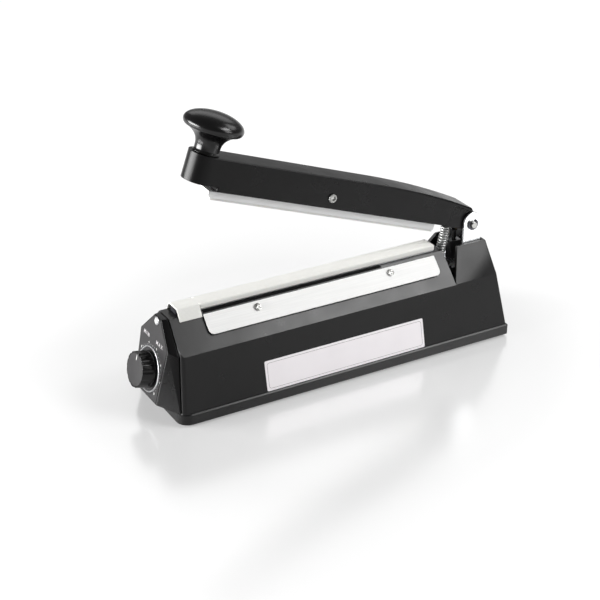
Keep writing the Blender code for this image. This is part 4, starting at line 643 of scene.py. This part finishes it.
# %% [markdown]
# ## The dial plate and its scale
# Behind the knob a dark grey plate covers the cap's sloping front. It is drawn as a ring: one edge is a
# circle round the dial, the other is the panel's six-sided outline, and points run between the two. Numbers
# and words are text made into thin meshes, and the ticks are one bar turned round the dial, all at once.

# %% Panel outline
PLATE_EDGE = 0.9 * MM
PANEL_LEVELS = [(12.9 * MM, 19.0 * MM), (55.9 * MM, 23.1 * MM), (73.3 * MM, 5.7 * MM)]
NEAR_ZERO = 1e-12
END_SLACK = 1e-9

lean = math.asin(dial_out[2])
panel_outline = np.array([((z - dial[2]) / math.cos(lean), half - PLATE_EDGE) for z, half in PANEL_LEVELS])
panel_outline[0, 0] += PLATE_EDGE
panel_outline[2, 0] -= PLATE_EDGE
print("panel outline in mm:", (panel_outline / MM).round(1).tolist())


def panel_edge(rays, outline):
    """Distance from the dial's centre to the outline along each ray, by cutting each side."""
    mirrored = outline[::-1] * (1.0, -1.0)
    ring = np.concatenate([outline, mirrored])
    start = ring[:, None, :]
    side = np.roll(ring, -1, axis=0)[:, None, :] - start
    ray = rays[None]
    cross = ray[..., 0] * side[..., 1] - ray[..., 1] * side[..., 0]
    safe = np.where(np.abs(cross) < NEAR_ZERO, NEAR_ZERO, cross)
    far = (start[..., 0] * side[..., 1] - start[..., 1] * side[..., 0]) / safe
    along = (start[..., 0] * ray[..., 1] - start[..., 1] * ray[..., 0]) / safe
    hit = (far > 0) & (along > -END_SLACK) & (along < 1 + END_SLACK)
    return np.where(hit, far, np.inf).min(0)


# %% Panel plate
PLATE_HOLE = 7.2 * MM
PLATE_LOW = 0.03 * MM
PLATE_TOP = 0.24 * MM
PLATE_STEPS = 120


def thin_plate(inner, outer, low, high, rows):
    """A flat plate from an inner to an outer outline, its edge and its back: P = (1-s) inner + s outer."""
    share = np.linspace(0.0, 1.0, rows)[:, None, None]
    flat = (1 - share) * inner + share * outer
    top = at_height(flat, high)
    bottom = top[::-1] * (1.0, 1.0, 0.0) + (0.0, 0.0, low)
    return np.concatenate([top, bottom])


corner_angles = np.arctan2(panel_outline[:, 1], panel_outline[:, 0])
even_angles = np.linspace(-np.pi, np.pi, PLATE_STEPS, endpoint=False)
plate_angles = np.sort(np.concatenate([even_angles, corner_angles, -corner_angles]))
rays = np.stack([np.cos(plate_angles), np.sin(plate_angles)], -1)
plate_outline = panel_edge(rays, panel_outline)[:, None] * rays
plate_points = thin_plate(PLATE_HOLE * rays, plate_outline, PLATE_LOW, PLATE_TOP, rows=6)
plate_points = np.concatenate([plate_points, plate_points[:1]])
plate = add_rings("dial_plate", set_at(plate_points, dial, dial_axes), GREY_PLATE, "base", sharp=30.0)
print("plate:", len(plate.data.polygons), "faces")

# %% Scale numbers and words
INK_LIFT = 0.26 * MM
STROKE_SWELL = 0.02
SCALE_STEPS = 8
SCALE_TURN = math.radians(270.0)
SCALE_RADIUS = 19.55 * MM
NUMBER_SIZE = 2.1 * MM
WORD_SIZE = 4.0 * MM
LOW_WORD_AT = (-12.2 * MM, 23.2 * MM)
HIGH_WORD_AT = (9.6 * MM, 23.2 * MM)
print_axes = np.stack([[0.0, -1.0, 0.0], dial_up, dial_out], 1)


def printed(name, words, size, place, material):
    """Plain lettering as a thin mesh on the panel: place is (right, up) of its middle."""
    curve = bpy.data.curves.new(name, "FONT")
    curve.body = words
    curve.size = size
    curve.offset = STROKE_SWELL * size
    curve.align_x = "CENTER"
    curve.align_y = "CENTER"
    guide = bpy.data.objects.new(name, curve)
    mesh = bpy.data.meshes.new_from_object(guide)
    bpy.data.objects.remove(guide)
    points = mesh_points(mesh) + (*place, INK_LIFT)
    mesh.vertices.foreach_set("co", set_at(points, dial, print_axes).ravel())
    mesh.materials.clear()
    mesh.materials.append(material)
    piece = put(name, mesh)
    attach(piece, "base")


for step in range(SCALE_STEPS):
    angle = SCALE_TURN * (step / (SCALE_STEPS - 1) - 0.5)
    spot = (SCALE_RADIUS * math.sin(angle), SCALE_RADIUS * math.cos(angle))
    printed(f"scale_number_{step + 1}", str(step + 1), NUMBER_SIZE, spot, WHITE_INK)
printed("scale_word_low", "M I N", WORD_SIZE, LOW_WORD_AT, GREY_INK)
printed("scale_word_high", "M A X", WORD_SIZE, HIGH_WORD_AT, GREY_INK)
print("scale: numbers 1 to", SCALE_STEPS, "and two words")

# %% Scale ticks and pointer
TICKS = 29
TICK_HALF = 0.13 * MM
TICK_FROM = 18.0 * MM
TICK_TO = 18.6 * MM
POINTER_HALF = 0.3 * MM
POINTER_FROM = 7.5 * MM
POINTER_TO = 12.0 * MM
POINTER_HIGH = KNOB_HIGH - 0.02 * MM


def upright_bar(half, low, high):
    """The four corners (right, up) of an upright bar."""
    return np.array([(-half, low), (half, low), (half, high), (-half, high)])


tick_turn = SCALE_TURN * (np.arange(TICKS) / (TICKS - 1) - 0.5)[:, None]
right, up = upright_bar(TICK_HALF, TICK_FROM, TICK_TO).T
tick_right = right * np.cos(tick_turn) + up * np.sin(tick_turn)
tick_up = up * np.cos(tick_turn) - right * np.sin(tick_turn)
tick_points = at_height(np.stack([tick_right, tick_up], -1), INK_LIFT)
tick_faces = np.arange(4 * TICKS).reshape(-1, 4)
ticks = add_piece("scale_ticks", set_at(tick_points, dial, print_axes), tick_faces, WHITE_INK, "base",
                  outwards=False)
pointer_points = at_height(upright_bar(POINTER_HALF, POINTER_FROM, POINTER_TO), POINTER_HIGH)
pointer = add_piece("dial_pointer", set_at(pointer_points, dial, print_axes), [(0, 1, 2, 3)], WHITE_INK,
                    "dial", outwards=False)
print("ticks:", len(ticks.data.polygons))

# %% [markdown]
# ## The ring and the lamp
# A bright ring stands round the knob, and above it a pale lens in a thin collar lights up while the strip
# is hot. All three are turned shapes, so again a profile in millimetres is enough.

# %% Ring, lens and collar
RING_PROFILE = [(15.9, 0.3), (16.3, 1.15), (17.1, 1.15), (17.6, 0.3), (15.9, 0.3)]
COLLAR_PROFILE = [(2.35, 0.26), (2.35, 0.75), (3.0, 0.75), (3.25, 0.26), (2.35, 0.26)]
RING_EASE = 0.35
COLLAR_EASE = 0.2
LENS_UP = 38.2 * MM
LENS_RADIUS = 2.2
LENS_RIM = 0.5
LENS_SWELL = 1.2
LENS_TAIL = -2.8
SWELL_STEPS = 14

bezel_profile = eased(RING_PROFILE, RING_EASE) * MM
bezel = add_lathe("dial_ring", bezel_profile, dial, dial_axes, RING_ALUMINIUM, "base", steps=120)
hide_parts("dial_bezel")
swell = np.linspace(0.0, np.pi / 2, SWELL_STEPS)
lens_dome = np.stack([LENS_RADIUS * np.sin(swell), LENS_RIM + LENS_SWELL * np.cos(swell)], 1)
lens_profile = np.concatenate([lens_dome, [(LENS_RADIUS, LENS_TAIL), (0.0, LENS_TAIL)]]) * MM
lens_place = dial + LENS_UP * dial_up
lens = add_lathe("indicator_dome", lens_profile, lens_place, dial_axes, LENS, "base", steps=48)
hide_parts("indicator_lens")
collar_profile = eased(COLLAR_PROFILE, COLLAR_EASE, steps=3) * MM
collar = add_lathe("indicator_collar", collar_profile, lens_place, dial_axes, RING_ALUMINIUM, "base",
                   steps=60)
print("lens at", lens_place.round(4))

# %% [markdown]
# ## The release cloth
# A strip of coated glass cloth is stretched over the heated bed so that molten film can't stick. Its
# section goes over the bed and a little way down both sides. At the dial end it is cut wider, and two tabs
# are pulled straight down to the slopes. A stretched sheet goes straight from one support to the next, so
# each stretch is one section carried along the bed, and the two are welded where they share the top.

# %% Cloth section
CLOTH_THICK = 0.4 * MM
CLOTH_CORNER = 2.0 * MM
CLOTH_CLEAR = 0.5 * MM
HEM_DROP = 4.0 * MM
TAB_LONG = 18.0 * MM
END_EASE = 0.22 * MM
FLAT_STEPS = 24
BEND_STEPS = 8
DROP_STEPS = 22

cloth_low, cloth_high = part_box("release_cloth")
_, bed_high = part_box("heater_bed")
cloth_middle = cloth_high.z - CLOTH_THICK / 2
side_y = bed_high.y + CLOTH_CLEAR
flat_y = np.linspace(0.0, side_y - CLOTH_CORNER, FLAT_STEPS)


def even_steps(path, count):
    """A path with its points spread evenly along its length, and the length."""
    run = np.concatenate([[0.0], np.cumsum(np.linalg.norm(np.diff(path, axis=0), axis=1))])
    at = np.linspace(0.0, run[-1], count)
    return np.stack([np.interp(at, run, path[:, 0]), np.interp(at, run, path[:, 1])], 1), run[-1]


def cloth_section(end):
    """The section (y, z) over the bed and down to an end on both sides, and the cloth's run along it."""
    bend = eased([(flat_y[-1], cloth_middle), (side_y, cloth_middle), end], CLOTH_CORNER, BEND_STEPS)
    drop, drop_long = even_steps(bend, DROP_STEPS)
    half = np.concatenate([np.stack([flat_y, np.full_like(flat_y, cloth_middle)], 1), drop[1:]])
    run = np.concatenate([flat_y, flat_y[-1] + np.linspace(0.0, drop_long, DROP_STEPS)[1:]])
    return np.concatenate([half[:0:-1] * (-1.0, 1.0), half]), np.concatenate([-run[:0:-1], run])


hem_section, hem_run = cloth_section((side_y, cloth_high.z - HEM_DROP))
tab_section, tab_run = cloth_section((cloth_high.y - END_EASE, cloth_low.z + END_EASE))
print("cloth width in mm:", [round(2 * run[-1] / MM, 2) for run in (hem_run, tab_run)], "over bed and tabs")

# %% Cloth sheet
STRIP_HALF = 4.4 * MM
STRIP_POWER = 8
RIDGE_HALF = 2.9 * MM
RIDGE_POWER = 6
RIDGE_HIGH = 0.10 * MM
RIPPLE_HIGH = 0.035 * MM
RIPPLE_SHORT = 9.0 * MM
RIPPLE_LONG = 23.0 * MM
TAB_STEPS = 19
HEM_STEPS = 110


def cloth_part(places, section, run):
    """Points and UV in metres of a stretch of cloth: a section carried along X, raised and rippled."""
    x = places[:, None] + 0 * run[None, :]
    across = run[None, :] + 0 * x
    over_bed = np.exp(-(np.abs(across) / STRIP_HALF) ** STRIP_POWER)
    ridge = RIDGE_HIGH * np.exp(-(np.abs(across) / RIDGE_HALF) ** RIDGE_POWER)
    ripple = RIPPLE_HIGH * np.sin(x / RIPPLE_SHORT) * np.sin(x / RIPPLE_LONG + 1.0)
    points = np.stack([x, section[:, 0] + 0 * x, section[:, 1] + over_bed * (ridge + ripple)], -1)
    return points, np.stack([x, across], -1)


tab_x = np.linspace(cloth_low.x, cloth_low.x + TAB_LONG, TAB_STEPS)
hem_x = np.linspace(tab_x[-1], cloth_high.x, HEM_STEPS)
tab_points, tab_uv = cloth_part(tab_x, tab_section, tab_run)
hem_points, hem_uv = cloth_part(hem_x, hem_section, hem_run)
cloth_points = np.concatenate([tab_points.reshape(-1, 3), hem_points.reshape(-1, 3)])
cloth_uv = np.concatenate([tab_uv.reshape(-1, 2), hem_uv.reshape(-1, 2)])
cloth_faces = np.concatenate([grid_faces(len(tab_x), len(tab_run)),
                              grid_faces(len(hem_x), len(hem_run)) + tab_x.size * tab_run.size])
print("cloth:", len(cloth_faces), "faces")

# %% Cloth piece
CLOTH_FILL = 0.9

cloth_mesh = bpy.data.meshes.new("release_cloth_sheet")
cloth_mesh.from_pydata(cloth_points.tolist(), [], cloth_faces.tolist())
layer = cloth_mesh.uv_layers.new(name="sheet")
layer.data.foreach_set("uv", cloth_uv[cloth_faces.ravel()].ravel())
weld(cloth_mesh)
cloth_mesh.materials.append(RELEASE_CLOTH)
cloth = put("release_cloth_sheet", cloth_mesh)
solid = cloth.modifiers.new("thickness", "SOLIDIFY")
solid.thickness = CLOTH_THICK * CLOTH_FILL
solid.offset = 0.0
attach(cloth, "base")
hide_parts("release_cloth")

# %% [markdown]
# ## Painted shade on the shoulders
# A narrow matte black strip folds over the edge between the flat top and each slope, in the gap beside the
# clamp plate. It is painted shade, a dark sheet standing for the shadow between the cloth and the plate,
# and it stops short of the plate's end at the hinge. It is a thin bent section carried along the bed, a
# little clear of the cloth.

# %% Shoulder strips of painted shade
SHADE_STRIP_THICK = 0.12 * MM
SHADE_STRIP_START = 1.0 * MM
SHADE_STRIP_SHORT = 47.0 * MM
SHADE_STRIP_STEPS = 40
SHADE_STRIP_PATH = np.array([(7.1, 73.45), (8.52, 73.45), (9.40, 72.57)]) * MM
SHADE_STRIP_OUT = np.array([(0.0, 1.0), (0.38, 0.92), (0.71, 0.71)])

plate_low, plate_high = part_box("clamp_plate_front")
shade_ring = np.concatenate([SHADE_STRIP_PATH, (SHADE_STRIP_PATH + SHADE_STRIP_OUT * SHADE_STRIP_THICK)[::-1]])
shade_x = np.linspace(plate_low.x + SHADE_STRIP_START, plate_high.x - SHADE_STRIP_SHORT, SHADE_STRIP_STEPS)
x, y = np.meshgrid(shade_x, shade_ring[:, 0], indexing="ij")
z = np.broadcast_to(shade_ring[:, 1], y.shape)
for side, sign in (("front", -1.0), ("rear", 1.0)):
    shade_points = np.stack([x, sign * y, z], -1)
    ends = np.repeat(shade_points[[0, -1]].mean(1, keepdims=True), len(shade_ring), 1)
    shade_points = np.concatenate([ends[:1], shade_points, ends[1:]])
    # Each strip is painted shade: it is black where the gap between cloth and plate lies in shadow.
    tape = add_rings(f"shoulder_shade_strip_{side}", shade_points, PAINTED_SHADE_STRIP, "base", sharp=20.0)
print("tape from", shade_x[0].round(4), "to", shade_x[-1].round(4))

# %% [markdown]
# ## The return spring
# A coil between the bracket and the arm's tail lifts the arm when it is let go. It is a round section
# carried along a helix whose axis leans and turns until it meets the arm's seat squarely.

# %% Spring line
SPRING_TURNS = 15
SPRING_FLAT = 0.15
SPRING_RADIUS = 3.4 * MM
SPRING_WIRE = 0.6 * MM
SPRING_CLEAR = 0.3 * MM
SEAT_OUT = 15.0 * MM
SEAT_UP = -6.0 * MM
FOOT_LEAN = 5.5 * MM
BRACKET_TOP = 60.0 * MM
TURN_STEPS = 28

wire_ease = SPRING_CLEAR + SPRING_WIRE
seat = set_at(np.array([-SEAT_OUT, 0.0, SEAT_UP]), hinge, arm_axes)
spring_head = seat - arm_axes[:, 2] * wire_ease
spring_foot = np.array([seat[0] - FOOT_LEAN, 0.0, BRACKET_TOP + wire_ease])

# The axis rises evenly from foot to head, leans by 3 s^2 - 2 s^3 on the way, and the wire circles it.
share = np.linspace(0.0, 1.0, SPRING_TURNS * TURN_STEPS + 1)
along = np.clip((share * SPRING_TURNS - SPRING_FLAT) / (SPRING_TURNS - 2 * SPRING_FLAT), 0.0, 1.0)
bend = along * along * (3 - 2 * along)
centre = np.stack([spring_foot[0] + (spring_head[0] - spring_foot[0]) * bend, 0 * along,
                   spring_foot[2] + (spring_head[2] - spring_foot[2]) * along], 1)
tilt = ARM_OPEN * bend
angle = 2 * np.pi * share * SPRING_TURNS
level = np.stack([np.cos(tilt), 0 * tilt, -np.sin(tilt)], 1)
outward = level * np.cos(angle)[:, None] + np.array([0.0, 1.0, 0.0]) * np.sin(angle)[:, None]
wire_line = centre + outward * SPRING_RADIUS
print("spring length in mm:", round((spring_head[2] - spring_foot[2]) / MM, 1))

# %% Spring wire
WIRE_SIDES = 12

tangent = np.gradient(wire_line, axis=0)
tangent /= np.linalg.norm(tangent, axis=1, keepdims=True)
binormal = np.cross(tangent, outward)
binormal /= np.linalg.norm(binormal, axis=1, keepdims=True)
normal = np.cross(binormal, tangent)
wire_turn = full_turn(WIRE_SIDES)[..., None]
tube = wire_line[:, None] + SPRING_WIRE * (normal[:, None] * np.cos(wire_turn)
                                           + binormal[:, None] * np.sin(wire_turn))
wire_ends = np.repeat(wire_line[[0, -1], None], WIRE_SIDES, 1)
tube = np.concatenate([wire_ends[:1], tube, wire_ends[1:]])
spring = add_rings("return_spring_coil", tube, SPRING_STEEL, None, sharp=60.0)
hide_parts("return_spring")
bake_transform(spring)
print("spring:", len(spring.data.polygons), "faces")

# %% [markdown]
# ## Screw heads
# The clamp plates are held by pan-head screws with a cross recess, and the pressing bar by a button-head
# bolt with a six-sided socket. Both are turned profiles with a recess pressed into the top: the height
# drops where a cross or a hexagon, drawn in polar angles, covers the point. Each cross stands at an angle
# of its own, as screws driven by hand do.

# %% Driver recess
CROSS_BAR = 0.26
CROSS_SIDE = 0.10
CROSS_END = 0.3
HEXAGON_SIDE = 0.08


def cross_bar(along, across, reach):
    """Depth of one bar of a cross, from 0 to 1, by the distances along and across it from the middle."""
    side = np.clip((CROSS_BAR * reach - np.abs(across)) / (CROSS_SIDE * reach), 0.0, 1.0)
    end = np.clip((reach - np.abs(along)) / (CROSS_END * reach), 0.0, 1.0)
    return side * end


def recess_depth(radius, turn, kind, reach):
    """How far a driver recess goes down, from 0 to 1, at polar points: a cross of two bars or a hexagon."""
    if kind == "cross":
        x = radius * np.cos(turn)
        y = radius * np.sin(turn)
        return np.maximum(cross_bar(x, y, reach), cross_bar(y, x, reach))
    sector = np.mod(turn, np.pi / 3) - np.pi / 6
    return np.clip((reach - radius * np.cos(sector)) / (HEXAGON_SIDE * reach), 0.0, 1.0)


# %% Screw shape
HEAD_DOME = 0.93
HEAD_RINGS = 40
RING_POWER = 0.9
HEAD_FALL = 0.30
FALL_POWER = 2.2
HEAD_SIDE = 0.45
HEAD_EASE = 0.25 * MM
HEAD_HIGH = 1.3 * MM


def screw_points(head, head_high, shank, shank_long, kind, recess, recess_deep, steps=72):
    """A domed head, h = high (1 - fall r^2.2), with a recess, on a plain shank, from the top down."""
    out = np.linspace(0.0, HEAD_DOME, HEAD_RINGS) ** RING_POWER
    top = np.stack([head * out, head_high * (1 - HEAD_FALL * out ** FALL_POWER)], 1)
    rest = eased([top[-1], (head, head_high * HEAD_SIDE), (head, 0.0), (shank, 0.0), (shank, -shank_long),
                  (0.0, -shank_long)], HEAD_EASE, steps=3)[1:]
    points = lathe(np.concatenate([top, rest]), steps)
    points[:len(top), :, 2] -= recess_depth(top[:, :1], full_turn(steps), kind, recess) * recess_deep
    return points


def add_screw(name, node, points, origin, axes, body):
    """A nickel screw in place of its CAD node."""
    piece = add_rings(name, set_at(points, origin, axes), SCREW_STEEL, body, sharp=40.0)
    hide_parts(node)
    return piece


# %% Plate screws
SLOPE = math.radians(45.0)
FIRST_TURN = 0.5
NEXT_TURN = 1.3
SCREW_GAP = 0.06

pan_screw = screw_points(head=2.9 * MM, head_high=HEAD_HIGH, shank=1.4 * MM, shank_long=6.5 * MM,
                         kind="cross", recess=2.0 * MM, recess_deep=0.95 * MM)
for node in sorted(name for name in nodes if name.startswith("clamp_screw")):
    low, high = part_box(node)
    middle = (np.array(low) + np.array(high)) / 2
    side = -1.0 if "front" in node else 1.0
    face = np.array([0.0, side * math.cos(SLOPE), math.sin(SLOPE)])
    up_slope = np.array([0.0, -side * math.sin(SLOPE), math.cos(SLOPE)])
    driver_turn = FIRST_TURN + NEXT_TURN * middle[0] / SCREW_GAP
    x_axis = np.array([1.0, 0.0, 0.0]) * math.cos(driver_turn) + up_slope * math.sin(driver_turn)
    axes = np.stack([x_axis, np.cross(face, x_axis), face], 1)
    lift = (mesh_points(nodes[node].data) - middle) @ face
    spot = middle + face * (lift.max() - HEAD_HIGH)
    add_screw(node.replace("clamp_screw", "pan_screw"), node, pan_screw, spot, axes, "base")

# %% Bar bolt
bolt_low, bolt_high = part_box("bar_bolt")
bolt_long = bolt_high.y - bolt_low.y - HEAD_HIGH
button_head = screw_points(head=3.4 * MM, head_high=HEAD_HIGH, shank=2.0 * MM, shank_long=bolt_long,
                           kind="hexagon", recess=2.0 * MM, recess_deep=1.1 * MM)
bolt_axes = np.stack([arm_axes[:, 0], arm_axes[:, 2], [0.0, -1.0, 0.0]], 1)
bolt_spot = ((bolt_low.x + bolt_high.x) / 2, bolt_low.y + HEAD_HIGH, (bolt_low.z + bolt_high.z) / 2)
bolt = add_screw("bar_button_bolt", "bar_bolt", button_head, bolt_spot, bolt_axes, "arm")
print("bolt:", bolt.name, round(bolt_long / MM, 1), "mm under its head")

# %% [markdown]
# ## Rounded copies of the solids
# Moulded and bent parts never have knife edges: the light catches a thin line along every corner. A copy
# of the CAD mesh is welded, its flat faces joined, and a Bevel modifier rounds the edges that are sharp,
# which keeps the shape of the solid and needs no second drawing of it.

# %% Rounded copies
LARGE_FACE = 400 * MM ** 2
FACET_BEND = math.radians(12.0)
FLAT_BEND = math.radians(0.4)
BEVEL_STEPS = 3
EDGE_ANGLE = 25.0
ARM_EDGE_ANGLE = 48.0


def rounded_copy(node, material, body, width, angle):
    """A welded copy of a CAD node with its sharp edges rounded and its flat faces shaded flat."""
    mesh = bpy.data.meshes.new(node + "_rounded")
    work = bmesh.new()
    work.from_mesh(nodes[node].data)
    bmesh.ops.remove_doubles(work, verts=work.verts, dist=WELD)
    bmesh.ops.dissolve_limit(work, angle_limit=FLAT_BEND, verts=work.verts, edges=work.edges)
    for edge in work.edges:
        bend = edge.calc_face_angle(0.0)
        wide = min(face.calc_area() for face in edge.link_faces) > LARGE_FACE
        edge.smooth = bend < math.radians(angle) and not (wide and bend > FACET_BEND)
    work.to_mesh(mesh)
    work.free()
    if "custom_normal" in mesh.attributes:
        mesh.attributes.remove(mesh.attributes["custom_normal"])
    mesh.shade_smooth()
    mesh.materials.clear()
    mesh.materials.append(material)
    piece = put(node + "_rounded", mesh)
    bevel = piece.modifiers.new("edges", "BEVEL")
    bevel.width = width
    bevel.segments = BEVEL_STEPS
    bevel.limit_method = "ANGLE"
    bevel.angle_limit = math.radians(angle)
    weighted = piece.modifiers.new("flat_faces", "WEIGHTED_NORMAL")
    weighted.keep_sharp = True
    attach(piece, body)
    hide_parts(node)


ROUNDED = [
    ("housing", BLACK_SHELL, "base", 0.7), ("end_cap", BLACK_CAP, "base", 0.5),
    ("arm", BLACK_ARM, "arm", 0.25), ("seal_bar", BAR_ALUMINIUM, "arm", 0.4),
    ("hinge_bracket", BRIGHT_ZINC, "base", 0.25), ("clamp_plate_front", PALE_ALUMINIUM, "base", 0.25),
    ("retaining_clip_front", DARK_STEEL, "base", 0.12), ("clamp_plate_rear", PALE_ALUMINIUM, "base", 0.25),
    ("retaining_clip_rear", DARK_STEEL, "base", 0.12), ("silicone_strip", SILICONE, "arm", 0.2),
    ("hinge_pin", SCREW_STEEL, "base", 0.35), ("cord_bush", RUBBER, "base", 0.25),
    ("switch_plunger", BLACK_KNOB, "switch_plunger", 0.15), ("micro_switch", SWITCH_PLASTIC, "base", 0.1),
    ("bar_nut", SCREW_STEEL, "arm", 0.2),
    *((name, RUBBER, "base", 0.25) for name in nodes if name.startswith("foot_")),
]
for node, material, body, width in ROUNDED:
    rounded_copy(node, material, body, width * MM, ARM_EDGE_ANGLE if node == "arm" else EDGE_ANGLE)

# %% [markdown]
# ## The bare label
# The front wall carries a white self-adhesive label, blank apart from a thin printed frame. It is a film
# with a little thickness: rings of points shrink from its round-cornered outline to its middle, so that
# its edge catches the light. The frame is a flat band between two such outlines.

# %% Label
WALL_FOOT = np.array([0.0, -38.6 * MM, 10.4 * MM])
WALL_UP = np.array([0.0, 0.21079, 0.97753])
WALL_OUT = np.array([0.0, -0.97753, 0.21079])
LABEL_MIDDLE = np.array([5.8, 12.1]) * MM
LABEL_HALF = np.array([69.6, 11.7]) * MM
LABEL_CORNER = 1.2 * MM
LABEL_LOW = 0.02 * MM
LABEL_TOP = 0.14 * MM
FRAME_HIGH = 0.15 * MM
FRAME_EDGES = [(1.7 * MM, 2.2 * MM), (2.05 * MM, 1.9 * MM)]
label_axes = np.stack([[1.0, 0.0, 0.0], WALL_UP, WALL_OUT], 1)


def rounded_outline(half, radius, steps=8):
    """A rectangle with round corners, anticlockwise: each corner is a quarter circle."""
    turn = np.linspace(0.0, np.pi / 2, steps)
    starts = np.arange(4) * np.pi / 2
    centre = (half - radius) * np.array([(1, 1), (-1, 1), (-1, -1), (1, -1)])
    angles = starts[:, None] + turn[None, :]
    ring = centre[:, None, :] + radius * np.stack([np.cos(angles), np.sin(angles)], -1)
    return ring.reshape(-1, 2)


label_outline = LABEL_MIDDLE + rounded_outline(LABEL_HALF, LABEL_CORNER)
label_points = thin_plate(LABEL_MIDDLE, label_outline, LABEL_LOW, LABEL_TOP, rows=10)
label = add_rings("front_label", set_at(label_points, WALL_FOOT, label_axes), LABEL_FILM, "base")
frame_lines = [rounded_outline(LABEL_HALF - inset, corner) for inset, corner in FRAME_EDGES]
border = at_height(np.stack(frame_lines) + LABEL_MIDDLE, FRAME_HIGH)
line = add_rings("label_frame", set_at(border, WALL_FOOT, label_axes), GREY_INK, "base", outwards=False)
print("label:", (2 * LABEL_HALF / MM).round(1).tolist(), "mm")

# %% [markdown]
# ## Finishes for the solids that stay
# The flat, hidden or small pieces keep their CAD shape, which is right as it is, and take a finish in
# their own slot.

# %% Assign finishes
KEPT = [
    (PLATE_STEEL, "bottom_plate"), (BED_ALUMINIUM, "heater_bed"), (GLASS_TAPE, "bed_tape"),
    (NICHROME, "heating_element"), (DARK_STEEL, "terminal_"), (RING_ALUMINIUM, "bar_spacer_"),
    (RING_ALUMINIUM, "potentiometer"), (BRASS, "pivot_bush"), (BOARD_GREEN, "timer_board"),
    (CORE_SHEETS, "transformer_core"), (COIL_TAPE, "transformer_coil"), (SCREW_STEEL, "handle_bolt"),
    (SCREW_STEEL, "pot_"), (SCREW_STEEL, "base_screw_"), (SCREW_STEEL, "bracket_screw_"),
]
shown = [name for name, item in nodes.items() if not item.hide_render]
finished = [(name, material) for material, start in KEPT for name in shown if name.startswith(start)]
for name, material in finished:
    for holder in nodes[name].material_slots:
        holder.material = material
print("kept solids:", len(shown), "without a finish:", sorted(set(shown) - {name for name, _ in finished}))

# %% [markdown]
# ## Sizes
# The box round all the shown pieces, the floor aside, is printed in millimetres.

# %% Sizes and finish
low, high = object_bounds()
print("visual box in mm:", [round(1000 * part, 1) for part in (*low, *high)])
